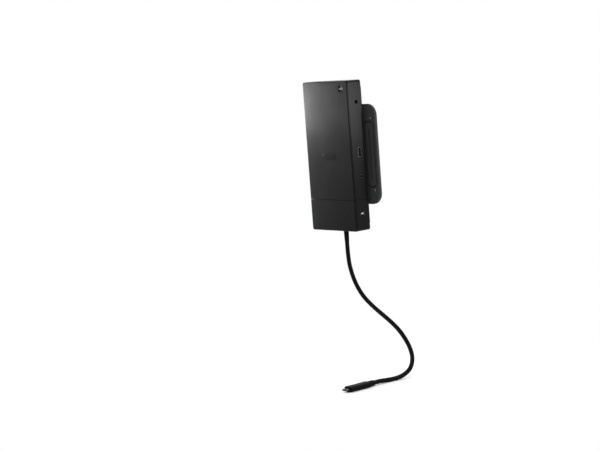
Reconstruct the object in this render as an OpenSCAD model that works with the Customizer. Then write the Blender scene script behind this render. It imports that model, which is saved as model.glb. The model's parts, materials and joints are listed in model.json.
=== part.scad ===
// Docking station held upright in a flat-screen holder, with its captive data lead.
// Front view: X to the right, Z up, Y from the viewer towards the screen.
// The origin is the centre of the screen hole pattern, on the back face of the mount plate.

/* [Dock body] */
// Width of the front face
dock_w = 90; // [82:1:110]
// Length of the dock, upright in its holder
dock_l = 208; // [186:1:240]
// Depth of the dock body without its feet
body_d = 27; // [26.5:0.5:34]
// Radius of the corners in the front view
corner_r = 3; // [2:0.5:8]
// Thickness of the moulded walls
wall = 2; // [1.6:0.1:2.4]
// Thickness of the front covers
cover_t = 2; // [1.8:0.1:3]
// Radius rolled onto the edge of the front covers
front_roll = 1.2; // [0.6:0.1:1.6]
// Radius rolled onto the back edge of the cases
back_roll = 1.4; // [0.6:0.1:2]
// Shadow gap between a cover and its case
reveal = 0.5; // [0.3:0.1:1]
// Length of the cable module at the lower end
module_l = 43.5; // [40:0.5:50]
// Shadow gap between the main unit and the cable module
seam = 0.5; // [0.3:0.1:1]
// Height of the skirt that centres a cover in its case
skirt_h = 2.5; // [1:0.1:3]
// Thickness of that skirt
skirt_t = 1.2; // [0.8:0.1:2]
// Assembly clearance between neighbouring pieces
fit = 0.15; // [0.1:0.05:0.3]
// Width of the blank badge on the front cover
badge_w = 26; // [16:1:40]
// Height of the blank badge
badge_h = 9; // [5:0.5:14]
// Thickness of the blank badge
badge_t = 0.6; // [0.4:0.1:1.2]
// Depth of the badge's pocket
badge_pocket = 0.5; // [0.3:0.1:1.2]
// Radius of a rubber foot
foot_r = 6; // [4:0.5:9]
// Height of a rubber foot
foot_h = 2; // [2:0.1:4]

/* [Power button] */
// Button centre from the right side of the dock
button_in_x = 12.5; // [11:0.5:20]
// Button centre from the top end of the dock
button_in_z = 10.8; // [9:0.1:14]
// Radius of the button cap
button_r = 6.2; // [5:0.1:6.5]
// Gap around the button cap
button_gap = 0.2; // [0.15:0.05:0.4]
// Travel of the button
button_travel = 0.8; // [0.4:0.1:1]
// How far the cap stands proud of the cover
button_proud = 0.3; // [0:0.1:0.6]
// Width of the flange that keeps the cap behind the cover
flange_w = 1; // [0.6:0.1:1.4]
// Thickness of that flange
flange_t = 0.9; // [0.6:0.1:1.2]
// Radius of the dish in the cap
dish_r = 4.5; // [3.8:0.1:5]
// Depth of the dish
dish_d = 0.5; // [0.2:0.1:0.8]
// Length of the light bar across the cap
bar_w = 7; // [4:0.5:7.5]
// Height of the light bar
bar_h = 1.3; // [1:0.1:2.4]
// Depth of the light bar in the cap
bar_d = 1.2; // [0.6:0.1:1.4]
// Radius of the stem behind the cap
stem_r = 2; // [1.5:0.1:3]
// Radius of the switch plunger
plunger_r = 1.7; // [1.2:0.1:2]
// Running clearance of the plunger
plunger_gap = 0.06; // [0.03:0.01:0.1]
// Width of the push switch
switch_w = 6; // [5:0.5:8]
// Height of the push switch
switch_h = 2.6; // [2.4:0.1:4]
// Width of the button board
button_board_w = 18; // [17.5:0.5:18.5]
// Length of the button board
button_board_l = 14; // [13:0.5:14.5]
// Thickness of the button board
button_board_t = 1; // [0.8:0.1:1.6]

/* [Boards] */
// Thickness of the main and module boards
board_t = 1.6; // [1:0.1:2]
// Height of the posts under the boards
post_h = 4.4; // [4:0.1:5]
// Radius of a board post
post_r = 2.8; // [2.4:0.1:3]
// Gap between a board and the walls
board_gap = 1; // [0.5:0.1:2]
// Radius of a cover post
cover_post_r = 3; // [2.9:0.1:3.4]
// Radius of the small screws' shanks
screw_r = 1.2; // [1:0.05:1.3]
// Radius of the small screws' heads
screw_head_r = 2.2; // [1.8:0.1:2.4]
// Height of the small screws' heads
screw_head_h = 1.1; // [0.8:0.1:1.2]
// Clearance around a screw
screw_gap = 0.08; // [0.05:0.01:0.12]
// Depth of the recess for a cover screw's head
screw_recess = 5; // [4:0.5:6]
// Length of a cover screw's shank
cover_screw_l = 14; // [11:0.5:15]
// Side of the main chip
chip_w = 14; // [10:1:16]
// Height of a chip
chip_h = 1; // [0.6:0.1:1.4]
// Thickness of the thermal pad
pad_t = 0.5; // [0.3:0.1:1]
// Width of the plug between the two boards
link_w = 24; // [16:1:26]
// Height of that plug's nose
link_h = 3; // [2:0.1:3.4]
// Depth of the nose inside its socket
link_reach = 4; // [3:0.5:6]

/* [Fan and heatsink] */
// Side of the square fan
fan_w = 40; // [36:1:42]
// Height of the fan
fan_h = 10; // [9.5:0.1:11]
// Gap between the fan and the heatsink
fan_gap = 1.5; // [0.5:0.1:4]
// Sideways place of the fan centre
fan_x = 3; // [2:0.5:4]
// Thickness of the fan's plates and walls
fan_wall = 1.2; // [0.8:0.1:1.6]
// Radius of the rotor with its blades
rotor_r = 16; // [14:0.5:16.5]
// Radius of the rotor's cup
cup_r = 8; // [7:0.5:9]
// Number of fan blades
blade_count = 11; // [7:1:15]
// Thickness of a fan blade
blade_t = 1; // [0.6:0.1:1.4]
// Radius of the rotor shaft
shaft_r = 1; // [0.8:0.1:1.4]
// Running clearance of the shaft
shaft_gap = 0.04; // [0.02:0.01:0.08]
// Radius of the fan's bearing sleeve
sleeve_r = 2.2; // [1.9:0.1:2.6]
// Length of the heatsink along the air flow
sink_l = 18; // [14:1:19]
// Height of the heatsink
sink_h = 9.5; // [8:0.1:10]
// Width of an air slot
vent_w = 2; // [1.4:0.1:2.6]
// Spacing of the air slots
vent_pitch = 4; // [3.6:0.1:5]
// Number of heatsink fins
fin_count = 13; // [9:1:15]
// Thickness of a fin
fin_t = 0.8; // [0.5:0.1:1.2]

/* [Sockets] */
// How far a socket's mouth lies behind the side wall
mouth_in = 0.3; // [0.1:0.1:0.6]
// Gap between a socket and its cut-out
mouth_gap = 0.25; // [0.15:0.05:0.4]
// Distance of the first left socket from the top end
socket_in_z = 9; // [7.5:0.5:9.5]
// Distance of the last left socket from the main unit's lower end
socket_low_in = 21.05; // [14:0.05:24]
// Sheet thickness of the metal socket shells
shell_t = 0.4; // [0.3:0.05:0.6]
// Width of a flat data socket
flat_w = 13.2; // [13:0.1:14]
// Height of a flat data socket
flat_h = 5.8; // [5.6:0.1:6.4]
// Length of a flat data socket
flat_l = 14; // [12:0.5:15]
// Width of an oval data socket
oval_w = 9; // [8.8:0.1:9.6]
// Height of an oval data socket
oval_h = 3.3; // [3.1:0.1:3.8]
// Length of an oval data socket
oval_l = 8; // [7:0.5:10]
// Width of the video socket
video_w = 15; // [14.6:0.1:15.6]
// Height of the video socket
video_h = 5.6; // [5.4:0.1:6.2]
// Length of the video socket
video_l = 11.5; // [10:0.5:13]
// Width of a display socket
display_w = 17; // [16.6:0.1:17.6]
// Height of a display socket
display_h = 6; // [5.6:0.1:6.4]
// Length of a display socket
display_l = 13; // [12:0.5:14]
// Width of the network socket
network_w = 16; // [15.6:0.1:16.4]
// Height of the network socket
network_h = 13.2; // [12.8:0.1:13.4]
// Length of the network socket
network_l = 18; // [16:0.5:19]
// Width of the network socket's mouth
network_mouth_w = 11.8; // [11.6:0.1:12.2]
// Height of the network socket's mouth
network_mouth_h = 8.4; // [8:0.1:8.8]
// Width of the power inlet
inlet_w = 10; // [9.6:0.1:10.4]
// Height of the power inlet
inlet_h = 10; // [9.6:0.1:11]
// Length of the power inlet
inlet_l = 13; // [11:0.5:14]
// Radius of the power inlet's bore
inlet_r = 3.9; // [3.6:0.1:4.2]
// Radius of the power inlet's centre pin
inlet_pin_r = 0.6; // [0.4:0.1:1]
// Width of the headset jack
jack_w = 6.4; // [6:0.1:7]
// Height of the headset jack
jack_h = 6; // [5.8:0.1:7]
// Length of the headset jack
jack_l = 13; // [12:0.5:14]
// Radius of the headset jack's bore
jack_r = 1.8; // [1.75:0.05:2]
// Radius of the wall's hole in front of the headset jack
jack_mouth_r = 2.9; // [2.1:0.1:2.9]
// Gap between the headset jack and the cover post above it
jack_clear = 0.3; // [0.1:0.1:2]
// Distance of the right flat socket from the main unit's lower end
right_flat_in = 65.25; // [62:0.25:68]
// Distance of the right oval socket from the main unit's lower end
right_oval_in = 34.25; // [31:0.25:37]
// Width of the lock slot
lock_w = 7; // [6:0.1:8]
// Height of the lock slot
lock_h = 3; // [2.6:0.1:3.6]
// Thickness of the lock slot's steel liner
lock_t = 0.6; // [0.4:0.1:1]
// Distance of the lock slot from the lower end
lock_in_z = 24; // [20:0.5:26]
// Depth of the lock slot's centre behind the front face
lock_depth = 14; // [12:0.5:15]

/* [Holder] */
// Width of the mount plate
plate_w = 122; // [116:1:140]
// Length of the mount plate
plate_l = 139; // [120:1:160]
// Thickness of the mount plate
plate_t = 2; // [1.6:0.1:3]
// Corner radius of the mount plate
plate_r = 16; // [6:1:20]
// Spacing of the four screen holes
hole_pitch = 100; // [99:0.5:101]
// Radius of a screen hole
hole_r = 2.15; // [2.1:0.05:2.5]
// Thickness of the plate's ears beside the dock
ear_t = 3.8; // [3:0.1:4.2]
// How far an ear reaches in from the plate's edge
ear_w = 24; // [22:0.5:25]
// Width of the long rib on each ear
rib_w = 14; // [10:0.5:15]
// Height of the ribs over the ears
rib_h = 0.9; // [0.4:0.1:1.2]
// Corner radius of the ribs
rib_r = 5; // [3:0.5:6]
// Distance of a rib's middle from the plate's edge
rib_in = 13.2; // [12:0.1:14]
// Distance of a rib's ends from the screen holes' centres
rib_end_in = 6; // [5.5:0.1:20]
// Width of the groove round a rib
groove_w = 2.2; // [1.4:0.1:2.4]
// Depth of that groove
groove_d = 2; // [1:0.1:2.4]
// Width of the blind slot along a rib
slot_w = 2.8; // [2:0.1:4]
// Distance of a slot's ends from the rib's ends
slot_end_in = 8.5; // [6:0.5:14]
// Thickness of the ear that is left under a slot
slot_floor = 0.8; // [0.6:0.1:1.4]
// Length of the spacers between plate and carrier
spacer_l = 5.4; // [4.5:0.1:9]
// Radius of a spacer
spacer_r = 4; // [3.4:0.1:5]
// Sideways spacing of the spacers
spacer_pitch_x = 64; // [58:1:66]
// Upright spacing of the spacers
spacer_pitch_z = 110; // [100:1:116]
// Radius of the spacer screws
spacer_screw_r = 2; // [1.6:0.1:2.2]
// Radius of the spacer screws' heads
spacer_head_r = 3.6; // [3:0.1:4.2]
// Height of the spacer screws' heads
spacer_head_h = 1.5; // [1:0.1:1.8]
// Sheet thickness of the carrier's back
carrier_t = 1.6; // [1.2:0.1:2.4]
// Width of the carrier's back
carrier_w = 82; // [78:1:86]
// How far the carrier's ends stay inside the dock's ends
carrier_in = 6; // [4:0.5:8]
// Corner radius of the carrier
carrier_r = 5; // [2:0.5:8]
// Side of the carrier's air window
window_w = 44; // [36:1:46]
// Radius of the two dock screws
dock_screw_r = 1.5; // [1.2:0.1:1.7]
// Radius of the dock screws' heads
dock_head_r = 2.9; // [2.4:0.1:3.2]
// Height of the dock screws' heads
dock_head_h = 1.7; // [1.2:0.1:2]
// Distance of the upper dock screw below the air window
dock_screw_in = 6; // [5:0.5:9]
// Distance of the lower dock screw below the plate's centre
dock_screw_low = 30; // [26:1:34]
// Radius of the brass inserts
insert_r = 2.5; // [2.3:0.1:2.8]
// Length of the brass inserts
insert_l = 4.4; // [4:0.1:5]

/* [Lead] */
// Diameter of the captive lead
lead_d = 6; // [5:0.1:7]
// Sideways place of the lead's exit
lead_x = 9; // [6:1:14]
// Distance of the lead's centre in front of the module board
lead_rise = 5; // [4:0.5:7]
// Length of the strain relief below the dock
boot_l = 16; // [10:0.5:20]
// Radius of the strain relief at the dock
boot_r = 3.7; // [3.5:0.1:5]
// Radius of the strain relief at its end
boot_end_r = 3.25; // [3.1:0.05:3.8]
// Radius of the strain relief's flange inside the wall
boot_flange_r = 6.4; // [5.6:0.1:7]
// Thickness of that flange
boot_flange_t = 2; // [1.4:0.1:2.4]

/* [Plug] */
// Width of the plug's grip
plug_w = 14.5; // [11:0.1:16]
// Thickness of the plug's grip
plug_h = 8; // [6:0.1:9]
// Length of the plug's grip
plug_l = 35; // [24:1:40]
// Length of the plug's strain relief
relief_l = 10; // [6:0.5:16]
// Radius of the plug's strain relief
relief_r = 4; // [3.2:0.05:4.5]
// Width of the plug's metal shell
tip_w = 8.3; // [8.2:0.05:8.4]
// Thickness of the plug's metal shell
tip_h = 2.5; // [2.4:0.05:2.6]
// Length of the plug's metal shell
tip_l = 6.6; // [6:0.1:7]
// Turn of the plug on the table, away from straight towards the viewer
plug_turn = 2; // [0:0.5:20]

/* [Hidden] */
$fn = 48;

// Through-cut allowance and arc step of rolled edges
cut = 1;
roll_step = 15;

// Layers from the screen forwards
front_y = -(plate_t + spacer_l + carrier_t + foot_h + body_d);
top_z = dock_l / 2;
low_z = -dock_l / 2;
seam_z = low_z + module_l;
main_low_z = seam_z + seam / 2;
module_top_z = seam_z - seam / 2;
case_front = cover_t + reveal;
floor_depth = body_d - wall;
board_back = floor_depth - post_h;
board_face = board_back - board_t;
inner_w = dock_w - 2 * wall;
inner_l = dock_l - 2 * wall;
inner_r = max(corner_r - wall, 0.5);

// Main board outline
board_w = inner_w - 2 * board_gap;
board_low_z = main_low_z + wall + board_gap;
board_top_z = top_z - wall - board_gap;
board_hole_gap = 0.4;

// Button stack behind the front face
button_x = dock_w / 2 - button_in_x;
button_z = top_z - button_in_z;
flange_gap = 0.05;
flange_room = 0.3;
flange_front = cover_t + flange_gap;
stem_l = 1.6;
stem_end = flange_front + flange_t + stem_l;
stop_gap = 0.2;
switch_front = stem_end + button_travel + stop_gap;
switch_back = switch_front + switch_h;
plunger_reach = 0.6;
plunger_end = switch_front + plunger_reach;
bar_gap = 0.05;
bar_front = dish_d - button_proud;
bar_proud = 0.1;
button_board_back = switch_back + button_board_t;
button_board_up = 5;
button_board_z = button_z + button_board_up - button_board_l / 2;
button_post_r = 1.6;
button_post_edge = 0.4;
button_post_in = button_post_r + button_post_edge;
button_post_dx = button_board_w / 2 - button_post_in;
button_post_z = button_board_z - button_board_l / 2 + button_post_in;
ribbon_w = 7;
ribbon_t = 0.4;
ribbon_foot = 3;

// Fan and heatsink stack in front of the board
sink_in = 4.5;
sink_z = top_z - wall - sink_in - sink_l / 2;
fan_z = sink_z - sink_l / 2 - fan_gap - fan_w / 2;
fan_front = board_face - fan_h;
fan_base = board_face - fan_wall;
intake_in = 2.5;
intake_r = rotor_r - intake_in;
cup_wall = 1;
hub_disc_r = cup_r - cup_wall;
rotor_gap = 0.6;
rotor_front = fan_front + fan_wall + rotor_gap;
rotor_back = fan_base - cup_wall;
sleeve_front = rotor_front + cup_wall + rotor_gap;
stator_gap = 0.05;
shaft_end = fan_base - stop_gap;
fan_lug_r = 2.6;
fan_lug_gap = 0.3;
fan_lug_out = screw_head_r + fan_lug_gap;
fan_lug_low = 4;
fan_lug_up = 8;
fan_screw_tail = 1;
fan_lugs = [
  [fan_x - fan_w / 2 - fan_lug_out, fan_z - fan_w / 2 + fan_lug_low],
  [fan_x + fan_w / 2 + fan_lug_out, fan_z + fan_lug_up]
];
chip_front = board_face - chip_h;
sink_back = chip_front - pad_t;
sink_front = sink_back - sink_h;
sink_base_t = 2;
sink_gap = 0.5;
sink_left = fan_x - fan_w / 2;
sink_right = button_x - button_board_w / 2 - sink_gap;
sink_w = sink_right - sink_left;
sink_x = (sink_left + sink_right) / 2;
sink_leg_r = 1.8;

// Module board outline
module_post_in = 9;
module_post_x = dock_w / 2 - module_post_in;
module_board_clear = 3;
module_board_w = 2 * (module_post_x - cover_post_r - module_board_clear);
module_board_in = 4;
module_board_top_z = module_top_z - wall - board_gap;
module_board_low_z = low_z + wall + boot_flange_t + module_board_in;

// Screws that hold the covers, from behind: sideways place, height
side_post_in = 7;
side_post_x = dock_w / 2 - side_post_in;
inlet_post_x = -22.5;
inlet_post_in = 9.5;
button_post_clear = 0.7;
upper_post_z = button_board_z - button_board_l / 2 - button_post_clear - cover_post_r;
fan_post_in = 68;
middle_post_x = -12;
middle_post_z = 18;
low_post_x = -12;
low_post_in = 9;
main_cover_posts = [
  [inlet_post_x, top_z - inlet_post_in], [side_post_x, upper_post_z], [side_post_x, top_z - fan_post_in],
  [middle_post_x, middle_post_z], [side_post_x, main_low_z + low_post_in],
  [low_post_x, main_low_z + low_post_in]
];
module_upper_in = 8;
module_lower_in = 8.5;
module_cover_posts = [
  for (x = [-1, 1], z = [module_top_z - module_upper_in, low_z + module_lower_in]) [x * module_post_x, z]
];
// Screws that hold the boards, from the front
network_post_in = 20;
video_post_x = -26;
video_post_z = 15;
flat_post_in = 50.25;
oval_post_in = 19.25;
main_board_posts = [
  [inlet_post_x, top_z - network_post_in], [side_post_x, fan_z], [video_post_x, video_post_z],
  [side_post_x, main_low_z + flat_post_in], [side_post_x, main_low_z + oval_post_in],
  [-side_post_x, main_low_z + low_post_in]
];
module_hole_in_x = 3.4;
module_hole_in_z = 4;
module_board_posts = [
  for (x = [-1, 1], z = [module_board_top_z - module_hole_in_z, module_board_low_z + module_hole_in_z])
    [x * (module_board_w / 2 - module_hole_in_x), z]
];
cover_post_reach = 6;
cover_post_meet = board_face - cover_post_reach;
cover_hole_spare = 0.5;
cover_hole_end = body_d - screw_recess - cover_screw_l - cover_hole_spare;

// Tabs that tie the cable module to the main case
tab_w = 10;
tab_reach = 9;
tab_t = 2;
tab_clear = 3;
tab_x = side_post_x - cover_post_r - tab_clear - tab_w / 2;
tab_screw_z = main_low_z + wall + tab_reach / 2;

// Link between the two boards
link_x = 6;
link_wall = 1.2;
link_lift = 1;
link_mid = board_face - link_lift - link_h / 2;
link_body_l = 8;
link_body_h = link_h + 2 * link_lift;

// Small pieces on the boards
can_x = -10;
can_z = -14;
can_w = 26;
can_l = 24;
can_h = 3.6;
can_t = 0.4;
coil_x = 11;
coil_z = 8;
coil_pitch = 10;
coil_w = 7;
coil_h = 4;
cap_x = 13;
cap_in = 45.25;
cap_pitch = 9.5;
cap_r = 3;
cap_h = 7;
small_chip_x = -1;
small_chip_z = 8;
small_chip_w = 9;
can_chip_w = 12;
module_chip_x = -15;
module_chip_in = 16;
module_chip_w = 10;

// Details of the sockets
flat_r = 0.6;
video_r = 0.9;
tongue_in = 0.8;
flat_tongue_t = 2;
flat_tongue_up = 0.8;
oval_tongue_t = 0.7;
video_tongue_t = 1.2;
display_tongue_t = 1.6;
tongue_side = 1;
inlet_pin_in = 2;
network_latch_w = 5.6;
network_latch_h = 2.4;
network_floor = 1.2;
contact_count = 8;
contact_pitch = 1.02;
contact_t = 0.4;
contact_in = 6;
jack_end = 1;

// Left sockets stack downwards from the top end: width of each, then its centre height
left_widths = [inlet_w, network_w, flat_w, flat_w, oval_w, video_w, display_w, display_w];
left_count = len(left_widths);
function width_before(n) = n == 0 ? 0 : left_widths[n - 1] + width_before(n - 1);
socket_run = top_z - socket_in_z - main_low_z - socket_low_in;
socket_space = (socket_run - width_before(left_count)) / (left_count - 1);
function left_z(n) = top_z - socket_in_z - width_before(n) - n * socket_space - left_widths[n] / 2;
left = -1;
right = 1;
flat_places = [[left, left_z(2)], [left, left_z(3)], [right, main_low_z + right_flat_in]];
oval_places = [[left, left_z(4)], [right, main_low_z + right_oval_in]];
jack_z = upper_post_z - cover_post_r - jack_clear - jack_w / 2;
display_places = [[left, left_z(6)], [left, left_z(7)]];
lock_z = low_z + lock_in_z;
lock_flange = 2;
lock_r = 0.4;

// Holder layers and outlines
plate_front = -plate_t;
carrier_back = plate_front - spacer_l;
carrier_front = carrier_back - carrier_t;
carrier_l = dock_l - 2 * carrier_in;
lead_depth = board_face - lead_rise;
lead_y = front_y + lead_depth;
spacer_places = [for (x = [-1, 1], z = [-1, 1]) [x * spacer_pitch_x / 2, z * spacer_pitch_z / 2]];
hole_places = [for (x = [-1, 1], z = [-1, 1]) [x * hole_pitch / 2, z * hole_pitch / 2]];
ear_front = -ear_t;
ear_gap = 0.6;
ear_x = max(plate_w / 2 - ear_w, spacer_pitch_x / 2 + spacer_r + ear_gap);
rib_x = max(plate_w / 2 - rib_in, ear_x + ear_gap + groove_w + rib_w / 2);
rib_l = hole_pitch - 2 * rib_end_in;
slot_l = rib_l - 2 * slot_end_in;
dock_screw_places = [[0, -dock_screw_low], [0, fan_z - window_w / 2 - dock_screw_in]];
insert_wall = 1.6;
insert_boss_r = insert_r + insert_wall;
insert_floor = 0.4;
insert_lip = 0.6;
access_gap = 1.1;
access_r = dock_head_r + access_gap;
foot_in_x = 11;
foot_in_z = 13.5;
foot_places = [for (x = [-1, 1], z = [-1, 1]) [x * (dock_w / 2 - foot_in_x), z * (dock_l / 2 - foot_in_z)]];
screw_short = 0.4;

// Route of the free lead from the dock's end: down from the strain relief, then along the table
lead_exit = [lead_x, lead_y, low_z];
lead_points = [
  [0, 0, -boot_l], [0, 0, -25.5], [0.5, 0, -37.5], [2, 0, -49.5], [5.5, 0, -61.5], [11, 0, -73.5],
  [18, 0, -84], [27.5, 0, -94], [39, 0, -102.5], [52, 0, -110.5], [65.5, 0, -118], [79, 0, -126],
  [91.5, 0, -135], [103, -1, -145.5], [112.5, -3, -156], [120, -7, -165.5], [125.5, -13, -173.5],
  [128.5, -21, -180.5], [129, -31, -185.5], [128.5, -43, -188], [127, -55, -188.5], [125.5, -66, -188],
  [124.5, -76, -187.5], [124, -86, -187.5]
];
lead_route = [for (p = lead_points) lead_exit + p];
lead_sides = 10;

// Lead inside the cable module
tail_low_z = low_z + wall + boot_flange_t;
tail_l = 14;
wire_r = 0.7;
wire_off = lead_d / 5;
wire_end_in = 4.75;
wire_top_z = module_board_top_z - link_body_l - wire_end_in;
wire_l = wire_top_z - tail_low_z - tail_l;
clamp_w = 14;
clamp_l = 6;
clamp_base = 0.8;
clamp_gap = 0.05;

// Plug details
relief_taper = 0.4;
plug_shoulder = 1.2;
plug_edge = 0.6;
plug_flat = 1;
plug_round = plug_h / 2 - plug_flat;
tip_t = 0.35;
tip_gap = 0.1;
tip_floor = 1;
tip_slot_w = 6;
tip_slot_h = 0.8;

// Frames of the lead's rings
lead_last = len(lead_route) - 1;
lead_start_dir = [0, 0, -1];
lead_end_dir = [-sin(plug_turn), -cos(plug_turn), 0];
// A direction that no stretch of the lead runs along
lead_side_ref = [0.6, 0.5, 0.6];

// Shared shapes

// Rounded rectangle about the origin
module soft_rect(w, h, r) {
  if (w > 2 * r) square([w - 2 * r, h], center = true);
  if (h > 2 * r) square([w, h - 2 * r], center = true);
  for (x = [-1, 1], y = [-1, 1]) translate([x * (w / 2 - r), y * (h / 2 - r)]) circle(r);
}

// Front-view outline carried from one depth to another
module front_extrude(d0, d1)
  translate([0, front_y + d1, 0]) rotate([90, 0, 0]) linear_extrude(d1 - d0) children();

// Round bar along Y between two depths
module peg(x, z, r, d0, d1)
  translate([x, front_y + d0, z]) rotate([-90, 0, 0]) cylinder(r = r, h = d1 - d0);

// Block between two depths, centred on x and z
module slab(x, z, w, l, d0, d1)
  translate([x - w / 2, front_y + d0, z - l / 2]) cube([w, d1 - d0, l]);

// Half profile of a slab with a rolled upper edge
function roll_profile(reach, d, roll) = concat(
  [[0, 0], [reach, 0]],
  [for (a = [0 : roll_step : 90]) [reach - roll + roll * cos(a), d - roll + roll * sin(a)]],
  [[0, d]]
);

// Slab with round corners and a rolled upper edge, lying on the XY plane
module rolled_slab(w, l, d, r, roll) {
  run_w = w - 2 * r;
  run_l = l - 2 * r;
  translate([-run_w / 2, -run_l / 2, 0]) cube([run_w, run_l, d]);
  for (x = [-1, 1], y = [-1, 1])
    translate([x * run_w / 2, y * run_l / 2, 0]) rotate_extrude() polygon(roll_profile(r, d, roll));
  for (turn = [0, 180]) {
    rotate([0, 0, turn]) translate([run_w / 2, run_l / 2, 0]) rotate([90, 0, 0])
      linear_extrude(run_l) polygon(roll_profile(r, d, roll));
    rotate([0, 0, turn]) translate([-run_w / 2, run_l / 2, 0]) rotate([90, 0, 90])
      linear_extrude(run_w) polygon(roll_profile(r, d, roll));
  }
}

// Block that covers a height range across the whole dock
module height_range(z0, z1)
  translate([-dock_w, front_y - dock_w, z0]) cube([2 * dock_w, 3 * dock_w, z1 - z0]);

// Outline on a side wall, carried inwards: x runs up the wall, y from the board towards the front
module side_extrude(place, in0, in1)
  translate([place[0] > 0 ? dock_w / 2 - in1 : in0 - dock_w / 2, front_y + board_face, place[1]])
    rotate([180, -90, 0]) linear_extrude(in1 - in0) children();

// Cut-out in a side wall for a socket of the given outline
module mouth_cut(place, w, h, r)
  side_extrude(place, -cut, wall + cut)
    translate([0, h / 2]) soft_rect(w + 2 * mouth_gap, h + 2 * mouth_gap, r + mouth_gap);

// Metal socket: a sheet tube closed at its inner end
module socket_shell(place, w, h, l, r) difference() {
  side_extrude(place, mouth_in, mouth_in + l) translate([0, h / 2]) soft_rect(w, h, r);
  side_extrude(place, mouth_in - cut, mouth_in + l - shell_t)
    translate([0, h / 2]) soft_rect(w - 2 * shell_t, h - 2 * shell_t, r - shell_t / 2);
}

// Contact tongue standing on a socket's inner end, raised towards the front
module socket_tongue(place, w, t, h, l, up)
  side_extrude(place, mouth_in + tongue_in, mouth_in + l - shell_t)
    translate([0, h / 2 + up]) square([w, t], center = true);

// Screw along Y with its head towards the front or the back
module front_screw(x, z, head_depth, head_r, head_h, shank_r, shank_l) {
  peg(x, z, head_r, head_depth - head_h, head_depth);
  peg(x, z, shank_r, head_depth, head_depth + shank_l);
}
module back_screw(x, z, head_depth, head_r, head_h, shank_r, shank_l) {
  peg(x, z, head_r, head_depth, head_depth + head_h);
  peg(x, z, shank_r, head_depth - shank_l, head_depth);
}

// Shells

// Both front covers in one piece, before the seam parts them
module cover_blank(z0, z1, posts) difference() {
  union() {
    intersection() {
      union() {
        translate([0, front_y + cover_t, 0]) rotate([90, 0, 0])
          rolled_slab(dock_w, dock_l, cover_t, corner_r, front_roll);
        front_extrude(cover_t, cover_t + skirt_h) difference() {
          soft_rect(inner_w - 2 * fit, inner_l - 2 * fit, inner_r);
          soft_rect(inner_w - 2 * fit - 2 * skirt_t, inner_l - 2 * fit - 2 * skirt_t, inner_r);
        }
      }
      height_range(z0, z1);
    }
    for (p = posts) peg(p[0], p[1], cover_post_r, cover_t, cover_post_meet);
  }
  for (p = posts)
    peg(p[0], p[1], screw_r + screw_gap, cover_hole_end, cover_post_meet + cut);
}

module top_cover() color("#3c3d40") difference() {
  union() {
    cover_blank(main_low_z, top_z, main_cover_posts);
    for (s = [-1, 1])
      peg(button_x + s * button_post_dx, button_post_z, button_post_r, cover_t, switch_back);
  }
  peg(button_x, button_z, button_r + button_gap, -cut, cover_t + cut);
  peg(button_x, button_z, button_r + flange_w + button_gap, cover_t, switch_back + cut);
  side_extrude([left, left_z(1)], wall, wall + network_l) translate([0, network_h / 2])
    square([network_w + 2 * mouth_gap, network_h + 2 * mouth_gap], center = true);
  front_extrude(-cut, badge_pocket) soft_rect(badge_w + 2 * fit, badge_h + 2 * fit, badge_h / 2 + fit);
}

module module_cover() color("#3c3d40") cover_blank(low_z, module_top_z, module_cover_posts);

// Side walls and floor of a case between two heights
module case_blank(z0, z1, posts, board_posts) difference() {
  union() {
    intersection() {
      difference() {
        translate([0, front_y + case_front, 0]) rotate([-90, 0, 0])
          rolled_slab(dock_w, dock_l, body_d - case_front, corner_r, back_roll);
        front_extrude(case_front - cut, floor_depth) soft_rect(inner_w, inner_l, inner_r);
      }
      height_range(z0, z1);
    }
    for (p = posts) peg(p[0], p[1], cover_post_r, cover_post_meet, floor_depth);
    for (p = board_posts) peg(p[0], p[1], post_r, board_back, floor_depth);
  }
  for (p = posts) {
    peg(p[0], p[1], screw_r + screw_gap, cover_post_meet - cut, body_d);
    peg(p[0], p[1], screw_head_r + screw_gap, body_d - screw_recess, body_d + cut);
  }
  for (p = board_posts) peg(p[0], p[1], screw_r + screw_gap, board_back - cut, floor_depth);
}

// Wall that closes a case at the seam
module seam_wall(z) slab(0, z, inner_w, wall, cover_t + skirt_h + fit, floor_depth);

// Window for the link between the boards
module link_window(z)
  slab(link_x, z, link_w + 2 * link_wall + 2 * fit, wall + 2 * cut, link_mid - link_body_h / 2 - fit,
    board_face + fit);

// Floor slots under the fan's intake
module intake_slots() {
  reach = intake_r - vent_w / 2;
  for (i = [-2 : 2])
    slab(fan_x, fan_z + i * vent_pitch, 2 * sqrt(reach * reach - pow(i * vent_pitch, 2)), vent_w,
      floor_depth - cut, body_d + cut);
}

// Slots in the top end where the warm air leaves
module outlet_slots() {
  count = floor(sink_w / vent_pitch) - 1;
  for (i = [0 : count - 1])
    slab(sink_x + (i - (count - 1) / 2) * vent_pitch, top_z - wall / 2, vent_w, wall + 2 * cut,
      sink_front, sink_back - sink_base_t);
}

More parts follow.
